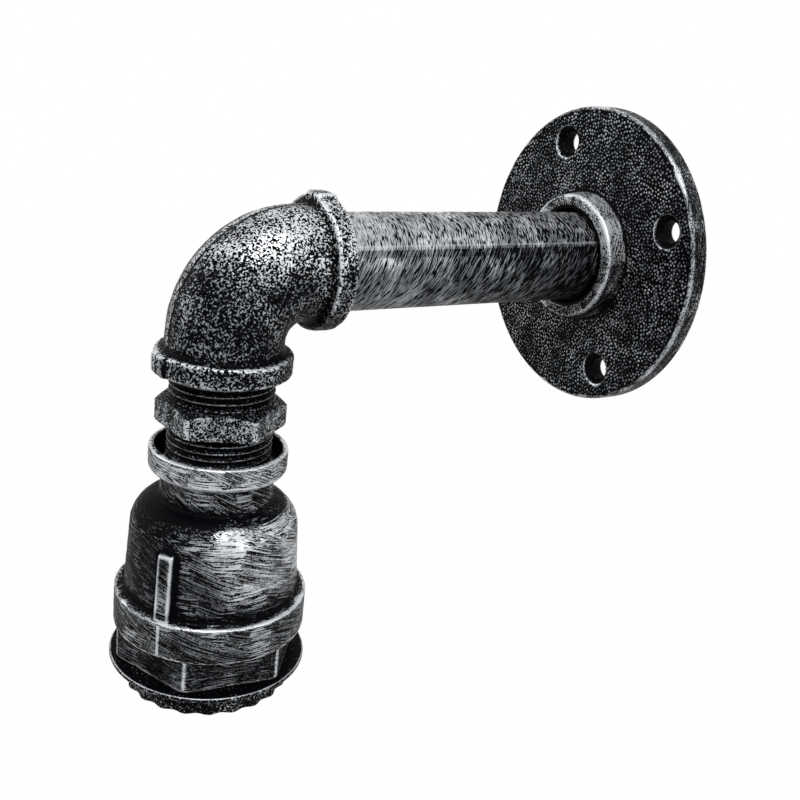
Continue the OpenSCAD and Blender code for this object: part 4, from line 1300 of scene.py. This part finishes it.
# %% Bell socket
bell_thread = THREAD_OUT + 0.15
bell_outline = np.concatenate([
    path([(RECESS_FLOOR, bell_thread, 0), (RECESS_FLOOR, RECESS_OUT, 0.3),
          (RING_TOP, RECESS_OUT, 0.2), (RING_TOP, RING_OUT, 0.5), (RING_LOW, RING_OUT, 1.9),
          (RING_LOW, NECK_OUT, 0.3), (DOME_Z + fillet_rise, NECK_OUT, 0)], 0.4)[:-1],
    path(arc(DOME_Z + fillet_rise, fillet_axis, NECK_FILLET, 180, 180 + blend_angle), 0.4)[:-1],
    path(arc(DOME_Z, dome_axis, DOME_R, blend_angle, 0, 30), 0.4)[:-1],
    path([(DOME_Z, DOME_OUT, 0), (GIRDLE_TOP, SKIRTING_OUT, 0.9), (GIRDLE_TOP, GIRDLE_OUT, 0.7),
          (GIRDLE_LOW, GIRDLE_OUT, 0.5), (GIRDLE_LOW, bell_corner_out, 0),
          (MOUTH_Z, bell_corner_out, 0.5), (MOUTH_Z, MOUTH_OUT, 0.2),
          (MOUTH_Z + MOUTH_DEPTH, MOUTH_OUT, 0)], 0.4)[:-1],
    path([(MOUTH_Z + MOUTH_DEPTH, MOUTH_OUT, 0), (GIRDLE_TOP, MOUTH_OUT, 0),
          (DOME_Z, DOME_OUT - WALL_T, 0),
          (DOME_Z + CAVITY_BEVEL, dome_axis + CAVITY_BEVEL, 2.0),
          (DOME_Z + CAVITY_RISE, bell_thread, 0), (RECESS_FLOOR, bell_thread, 0)], 2.5)[:-1]])
rib_edges = [r + side * e / SKIRTING_OUT for r in RIB_TURNS for side in (-1, 1)
             for e in (RIB_HALF_W + 0.14, RIB_HALF_W - 0.06, SEAM_HALF_W + 0.1, SEAM_HALF_W - 0.1)]
bell_corners = [BELL_CORNER + i * math.pi / 3 + d for i in range(6) for d in (-0.006, 0, 0.006)]
bell = spun("bell_casting", bell_outline, even_turns(320, rib_edges + bell_corners), on_drop,
            with_ribs_and_hexagon)
roughen(bell, 0.07, 2.6)
mark_wear(bell, edge_full=0.28)


# %% [markdown]
# The bell took the most brushing: long strokes down and round the dome, and bright lines along
# the edges of ring, band and hexagon. Painted light lies over it: the dome and the band's top
# edge are lighter on the right, lit side, a painted highlight sits on the shoulder, and painted
# shade lies on the shoulder's left and in the crease under the neck. The foot of the wall and
# the recess are darker.

# %% Silver on the bell
# Direction of the lit side, which is painted lighter, and place and reach of a painted highlight.
LIT_SIDE_DIRECTION = (0.58, 0.82)
PAINTED_HIGHLIGHT_SPOT = (18.9, -122.0, -62.6)
PAINTED_HIGHLIGHT_R = 6.5


def bell_touch_and_painted_light(x, y, z):
    """Silver on ring and edges, painted light on the dome's right, painted shade in the crease."""
    # 1 on the lit right side, -1 on the left: it carries painted light and shade.
    side = np.clip((LIT_SIDE_DIRECTION[0] * x + LIT_SIDE_DIRECTION[1] * (y - DROP_Y)) / 14, -1, 1)
    dome = smooth_step(-84, -76, z) * smooth_step(-56, -61, z)
    # Painted shade in the crease under the neck.
    crease = smooth_step(-61.6, -60.6, z) * smooth_step(-58.4, -59.2, z)
    low_dome = smooth_step(-70, -80, z) * smooth_step(GIRDLE_TOP, GIRDLE_TOP + 1, z)
    foot = smooth_step(GIRDLE_TOP + 3.5, GIRDLE_TOP + 1, z) * (z > GIRDLE_TOP + 0.3)
    # Painted shade on the left, unlit side of the shoulder.
    shoulder = smooth_step(-66, -62, z) * smooth_step(-56, -59, z) * (1 - side) / 2
    out = np.hypot(x, y - DROP_Y)
    from_spot = np.sqrt(sum((v - spot) ** 2 for v, spot in zip((x, y, z), PAINTED_HIGHLIGHT_SPOT)))
    # Painted highlight on the shoulder.
    painted_highlight = smooth_step(PAINTED_HIGHLIGHT_R, 1.5, from_spot)
    ribs = 0
    for rib in RIB_TURNS:
        across = np.abs(x * math.sin(rib) - (y - DROP_Y) * math.cos(rib))
        ribs = ribs + smooth_step(RIB_HALF_W, RIB_HALF_W - 0.3, across) * (out > SKIRTING_OUT)
    ribs = ribs * (z > GIRDLE_TOP + 0.6) * np.where(y < DROP_Y, 1, -2)
    ring_zone = smooth_step(RING_LOW - 0.5, RING_LOW + 0.5, z)
    ring_edge = (z > RING_TOP - 0.35) & (out > RING_OUT - 0.8)
    girdle_edge = (np.abs(z - GIRDLE_TOP) < 0.5) & (out > GIRDLE_OUT - 0.9)
    girdle_low = smooth_step(0.6, 0.2, np.abs(z - GIRDLE_LOW)) * (out > GIRDLE_OUT - 0.9)
    hexagon = smooth_step(GIRDLE_LOW + 0.3, GIRDLE_LOW - 0.3, z)
    mouth = smooth_step(MOUTH_Z + 0.8, MOUTH_Z + 0.3, z) * (out > MOUTH_OUT + 0.8)
    line = corner_line(x, y, BELL_CORNER, 0.45) * hexagon
    silver = 0.05 * side * dome + 0.01 * np.maximum(side, 0) * dome - 0.06 * shoulder
    # The band's top edge is brighter on the lit side: edge wear and painted light.
    silver += 0.035 * ring_zone + 0.12 * ring_edge + 0.08 * girdle_edge * (1 + side / 2)
    silver -= 0.14 * ((out < RECESS_OUT + 0.1) & (z > RECESS_FLOOR - 0.5))
    silver += 0.09 * painted_highlight + 0.02 * ribs + 0.06 * girdle_low + 0.06 * mouth + 0.11 * line
    return silver - 0.13 * crease - 0.08 * foot - 0.03 * hexagon - 0.02 * low_dome


mark_touch_and_painted_light(bell, bell_touch_and_painted_light)
finish_piece(bell, bell_paint, "bell_part", "bell_socket")

# %% [markdown]
# The shade ring screws up the lampholder's skirt and clamps a shade against the bell. Its grip
# is scalloped: twenty-two ridges with shallow hollows for the fingers between them. They repeat,
# so a small tree presses the hollows in by a wave that runs round the axis.

# %% Scalloped grip by Geometry Nodes
tree = new_tree("scalloped_grip", [("Axis", "Vector"), ("Count", "Float"), ("Turn", "Float"),
                                   ("Depth", "Float"), ("Top", "Float"), ("Inner", "Float"),
                                   ("Finish", "Material")])
group = put(tree, "NodeGroupInput")
height, turn, outward = round_axis(tree, group.outputs["Axis"])
turn = put(tree, "ShaderNodeMath", {0: turn, 1: group.outputs["Turn"]}, operation="SUBTRACT")
turn = put(tree, "ShaderNodeMath", {0: turn, 1: group.outputs["Count"]}, operation="MULTIPLY")
wave = put(tree, "ShaderNodeMath", {0: turn}, operation="COSINE")
hollow = put(tree, "ShaderNodeMapRange", {"Value": wave, "From Min": 1.0, "From Max": -1.0})
depth = put(tree, "ShaderNodeMath", {0: hollow, 1: group.outputs["Depth"]},
            operation="MULTIPLY")
out = put(tree, "ShaderNodeVectorMath", {0: outward}, operation="LENGTH").outputs["Value"]
below = put(tree, "FunctionNodeCompare", {0: height, 1: group.outputs["Top"]},
            operation="LESS_THAN")
outside = put(tree, "FunctionNodeCompare", {0: out, 1: group.outputs["Inner"]},
              operation="GREATER_THAN")
grip = put(tree, "FunctionNodeBooleanMath", {0: below, 1: outside}, operation="AND")
pressed = press_in(tree, group.outputs["Geometry"], outward, depth, Selection=grip)
end_tree(tree, pressed, group.outputs["Finish"])
grip_tree = tree
print("the tree of the grip has", len(tree.nodes), "nodes")

# %% Shade ring
SHADE_TOP = -104.0
SHADE_LOW = -111.4
SHADE_RIM_LOW = -105.2
SHADE_OUT = 25.65
GRIP_OUT = 22.0
GRIP_DEPTH = 0.8
GRIP_COUNT = 22
GRIP_TURN = math.radians(11)
SKIRT_OUT = 19.4

ring_outline = path([
    (SHADE_LOW, SKIRT_OUT + 0.1, 0), (SHADE_TOP, SKIRT_OUT + 0.1, 0),
    (SHADE_TOP, SHADE_OUT, 0.4), (SHADE_RIM_LOW, SHADE_OUT, 0.4), (SHADE_RIM_LOW, GRIP_OUT, 0),
    (SHADE_LOW, GRIP_OUT, 0.4), (SHADE_LOW, SKIRT_OUT + 0.1, 0)], 0.28)[:-1]
ring = spun("shade_ring_grip", ring_outline, even_turns(480), on_drop)
run_tree(ring, grip_tree, {"Axis": (0, DROP_Y * MM, 0), "Count": float(GRIP_COUNT),
                           "Turn": GRIP_TURN, "Depth": GRIP_DEPTH * MM,
                           "Top": (SHADE_RIM_LOW - 0.02) * MM, "Inner": (GRIP_OUT - 1.0) * MM,
                           "Finish": ring_paint})
mark_wear(ring)


# %% [markdown]
# The shade ring is nearly black. Only the two edges of its flange carry a line of silver, and its
# top face under the bell is darker still with painted shadow.

# %% Silver on the shade ring
def ring_touch_and_painted_light(x, y, z):
    """A bright line on both edges of the flange, less on the ridges, painted shadow on the top."""
    out = np.hypot(x, y - DROP_Y)
    # Painted shadow of the bell on the flange's top face.
    top = (z > SHADE_TOP - 0.3) & (out < SHADE_OUT - 0.4)
    ridge = smooth_step(GRIP_OUT - 0.5, GRIP_OUT - 0.1, out) * (z < SHADE_RIM_LOW - 0.3)
    lower_edge = (out > SHADE_OUT - 0.3) & (z < SHADE_RIM_LOW + 0.15)
    upper_edge = (out > SHADE_OUT - 0.3) & (z > SHADE_TOP - 0.15)
    return 0.3 * lower_edge + 0.3 * upper_edge - 0.01 * ridge - 0.12 * top


mark_touch_and_painted_light(ring, ring_touch_and_painted_light)
finish_piece(ring, ring_paint, "ring_part", "shade_ring")

# %% [markdown]
# Inside the ring sits the lampholder. Its skirt is black moulded phenolic with a coarse round
# thread on the outside, and the shell that takes the lamp's cap is thin brass sheet with a
# rolled thread. Both threads come from the tree that cut the nipple's.
# Phenolic is a hard, dark resin: semi-gloss, with a faint brown mottling from its wood flour.
# Rolled brass is a bright metal with fine lines along the sheet and a thin uneven tarnish.
# Bright zinc plate, on the steel nuts, washer and screws, is a cool white metal with soft clouds.

# %% Phenolic
def moulded_phenolic(name):
    """Black moulded resin, semi-gloss, faintly mottled."""
    material, tree, shader = new_material(name)
    place = put(tree, "ShaderNodeTexCoord").outputs["Object"]
    cloud = put(tree, "ShaderNodeTexNoise", {"Vector": place, "Scale": 1 / (3 * MM),
                                             "Detail": 4.0, "Roughness": 0.6})
    tone = put(tree, "ShaderNodeMix", {0: cloud, 6: colour("#0c0b0b"), 7: colour("#1c1715")},
               data_type="RGBA")
    grain = put(tree, "ShaderNodeTexNoise", {"Vector": place, "Scale": 1 / (0.3 * MM),
                                             "Detail": 2.0})
    gloss = put(tree, "ShaderNodeMapRange", {"Value": grain, "To Min": 0.22, "To Max": 0.38})
    bump = put(tree, "ShaderNodeBump", {"Height": grain, "Strength": 1.0,
                                        "Distance": 0.01 * MM})
    feed(tree, shader, Base_Color=tone.outputs[2], Roughness=gloss, Normal=bump)
    return material


phenolic = moulded_phenolic("black_moulded_phenolic")
print("material:", phenolic.name)


# %% Brass and zinc
def plated_metal(name, bright, dull, line, cloud_size, rough_low, rough_high, drawn):
    """Bare or plated metal: two tones, fine lines one way, and clouds, with sizes in mm."""
    material, tree, shader = new_material(name)
    place = put(tree, "ShaderNodeTexCoord").outputs["Object"]
    pulled = put(tree, "ShaderNodeMapping", {"Vector": place, "Scale": drawn})
    lines = put(tree, "ShaderNodeTexNoise", {"Vector": pulled, "Scale": 1 / (line * MM),
                                             "Detail": 2.0})
    clouds = put(tree, "ShaderNodeTexNoise", {"Vector": place, "Scale": 1 / (cloud_size * MM),
                                              "Detail": 3.0, "Roughness": 0.6})
    share = put(tree, "ShaderNodeMapRange", {"Value": clouds, "From Min": 0.4,
                                             "From Max": 0.7})
    tone = put(tree, "ShaderNodeMix", {0: share, 6: colour(bright), 7: colour(dull)},
               data_type="RGBA")
    rough = put(tree, "ShaderNodeMapRange", {"Value": lines, "From Min": 0.3, "From Max": 0.7,
                                             "To Min": rough_low, "To Max": rough_high})
    bump = put(tree, "ShaderNodeBump", {"Height": lines, "Strength": 1.0,
                                        "Distance": 0.01 * MM})
    feed(tree, shader, Base_Color=tone.outputs[2], Roughness=rough, Normal=bump)
    shader.inputs["Metallic"].default_value = 1.0
    return material


brass = plated_metal("rolled_brass", "#d9b56c", "#a98143", 0.15, 4, 0.18, 0.34, (1, 1, 0.1))
zinc = plated_metal("bright_zinc_plate", "#cfd2d2", "#a3a8a6", 0.4, 2.5, 0.22, 0.4, (1, 1, 1))
print("materials:", brass.name, "and", zinc.name)

# %% Lampholder's skirt
SKIRT_LOW = -112.5
SKIRT_THREAD_TOP = -86.0
SKIRT_TOP = -76.0
SKIRT_COLLAR = 18.4
SKIRT_BORE = 16.5
LIP_T = 2.0
LIP_BORE = 14.4
SKIRT_PITCH = 3.5
SKIRT_DEPTH = 0.7
lip_z = SKIRT_LOW + LIP_T

skirt_outline = path([
    (SKIRT_LOW, LIP_BORE, 0), (SKIRT_LOW, SKIRT_OUT, 0.3), (SKIRT_THREAD_TOP, SKIRT_OUT, 0.3),
    (SKIRT_THREAD_TOP, SKIRT_COLLAR, 0), (SKIRT_TOP, SKIRT_COLLAR, 0.2),
    (SKIRT_TOP, SKIRT_BORE, 0), (lip_z, SKIRT_BORE, 0), (lip_z, LIP_BORE, 0),
    (SKIRT_LOW, LIP_BORE, 0)], 0.35)[:-1]
skirt = spun("skirt_moulding", skirt_outline, even_turns(120), on_drop)
cut_thread(skirt, [(SKIRT_LOW + 0.3, SKIRT_THREAD_TOP - 0.3)], SKIRT_OUT, SKIRT_PITCH,
           SKIRT_DEPTH, 1.0, phenolic)
finish_piece(skirt, phenolic, "swivel_part", "holder_skirt")

# %% [markdown]
# The shell is thin sheet, so its outline runs up the inside, in over the narrow end to the hole
# for the centre contact, and back down the outside at one sheet's thickness, to a rim that lies
# on the skirt's lip.

# %% Screw shell
SHELL_R = 13.3
SHELL_T = 0.45
SHELL_NECK = 12.3
SHELL_NECK_Z = -92.0
SHELL_TOP = -88.0
SHELL_HOLE = 9.1
SHELL_PITCH = 3.629
SHELL_DEPTH = 1.0
shell_out = SHELL_R + SHELL_T
neck_out = SHELL_NECK + SHELL_T
neck_top = SHELL_NECK_Z + SHELL_T

shell_outline = path([
    (lip_z, SHELL_R, 0), (SHELL_NECK_Z, SHELL_R, 0.2), (SHELL_NECK_Z, SHELL_NECK, 0.2),
    (SHELL_TOP - SHELL_T, SHELL_NECK, 0), (SHELL_TOP - SHELL_T, SHELL_HOLE, 0),
    (SHELL_TOP, SHELL_HOLE, 0), (SHELL_TOP, neck_out, 0), (neck_top, neck_out, 0),
    (neck_top, shell_out, 0), (lip_z + SHELL_T, shell_out, 0),
    (lip_z + SHELL_T, SKIRT_BORE - 0.1, 0), (lip_z, SKIRT_BORE - 0.1, 0),
    (lip_z, SHELL_R, 0)], 0.35)[:-1]
shell = spun("rolled_shell", shell_outline, even_turns(120), on_drop)
cut_thread(shell, [(lip_z + 0.8, SHELL_NECK_Z - 0.5)], SHELL_R + SHELL_T / 2, SHELL_PITCH,
           SHELL_DEPTH, 1.0, brass)
finish_piece(shell, brass, "swivel_part", "screw_shell")

# %% [markdown]
# The other pieces inside keep the shapes that came with the frame and only need their
# materials. Steatite is a pressed ceramic, off-white with a few grey specks and a satin skin.
# The sheath of the flex is matt rubber with a little dust, and the cores are smooth, slightly
# glossy plastic; the earth core has a yellow stripe that winds round the green.

# %% Steatite and rubber
def dull_solid(name, body, speck, size, layers, weight, first, last, most, relief, rough):
    """A dull solid with specks: sizes in mm, and the noise levels where a speck starts and ends."""
    material, tree, shader = new_material(name)
    place = put(tree, "ShaderNodeTexCoord").outputs["Object"]
    specks = put(tree, "ShaderNodeTexNoise", {"Vector": place, "Scale": 1 / (size * MM),
                                              "Detail": layers, "Roughness": weight})
    share = put(tree, "ShaderNodeMapRange", {"Value": specks, "From Min": first,
                                             "From Max": last, "To Max": most})
    tone = put(tree, "ShaderNodeMix", {0: share, 6: colour(body), 7: colour(speck)},
               data_type="RGBA")
    bump = put(tree, "ShaderNodeBump", {"Height": specks, "Strength": 1.0,
                                        "Distance": relief * MM})
    feed(tree, shader, Base_Color=tone.outputs[2], Normal=bump)
    shader.inputs["Roughness"].default_value = rough
    return material


steatite = dull_solid("pressed_steatite", body="#ebe8de", speck="#a9a498", size=0.35, layers=2.0,
                      weight=0.5, first=0.62, last=0.72, most=0.5, relief=0.02, rough=0.45)
rubber = dull_solid("matt_sheath_rubber", body="#161616", speck="#4c4a47", size=0.8, layers=5.0,
                    weight=0.7, first=0.5, last=0.8, most=0.4, relief=0.03, rough=0.75)
print("materials:", steatite.name, "and", rubber.name)


# %% Plastic of the cores
def core_plastic(name, body_code, stripe_code, stripe_share):
    """Core insulation: a plain colour, or one with a stripe that winds round it."""
    material, tree, shader = new_material(name)
    place = put(tree, "ShaderNodeTexCoord").outputs["Object"]
    bands = put(tree, "ShaderNodeTexWave", {"Vector": place, "Scale": 0.05 / MM,
                                            "Distortion": 1.5, "Detail": 1.0},
                bands_direction="DIAGONAL")
    edge = 1 - stripe_share
    share = put(tree, "ShaderNodeMapRange", {"Value": bands.outputs["Fac"],
                                             "From Min": edge - 0.04, "From Max": edge + 0.04})
    tone = put(tree, "ShaderNodeMix", {0: share, 6: colour(body_code),
                                       7: colour(stripe_code)}, data_type="RGBA")
    grain = put(tree, "ShaderNodeTexNoise", {"Vector": place, "Scale": 1 / (0.5 * MM),
                                             "Detail": 3.0})
    gloss = put(tree, "ShaderNodeMapRange", {"Value": grain, "To Min": 0.28, "To Max": 0.5})
    feed(tree, shader, Base_Color=tone.outputs[2], Roughness=gloss)
    return material


brown = core_plastic("brown_core_plastic", "#5a2d14", "#6a381c", 0.3)
blue = core_plastic("blue_core_plastic", "#1f5fb0", "#2a6cbd", 0.3)
striped = core_plastic("green_yellow_core_plastic", "#2f8a2c", "#e6d21e", 0.4)
print("materials:", brown.name + ",", blue.name, "and", striped.name)

# %% Materials of the inner pieces
inner_materials = {
    "arm_flex": rubber, "elbow_flex": rubber, "holder_insert": steatite,
    "holder_cap": phenolic, "tie_washer": zinc, "tie_nut": zinc, "tie_tube": zinc,
    "cap_locknut": zinc, "cap_grub_screw": zinc, "terminal_screws": zinc,
    "earth_tag": brass, "live_terminal": brass, "neutral_terminal": brass,
    "centre_contact": brass, "live_core": brown, "neutral_core": blue, "earth_core": striped}
for node, material in inner_materials.items():
    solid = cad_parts[node]
    solid.data.materials.clear()
    solid.data.materials.append(material)
print("inner pieces:", ", ".join(sorted(inner_materials)))
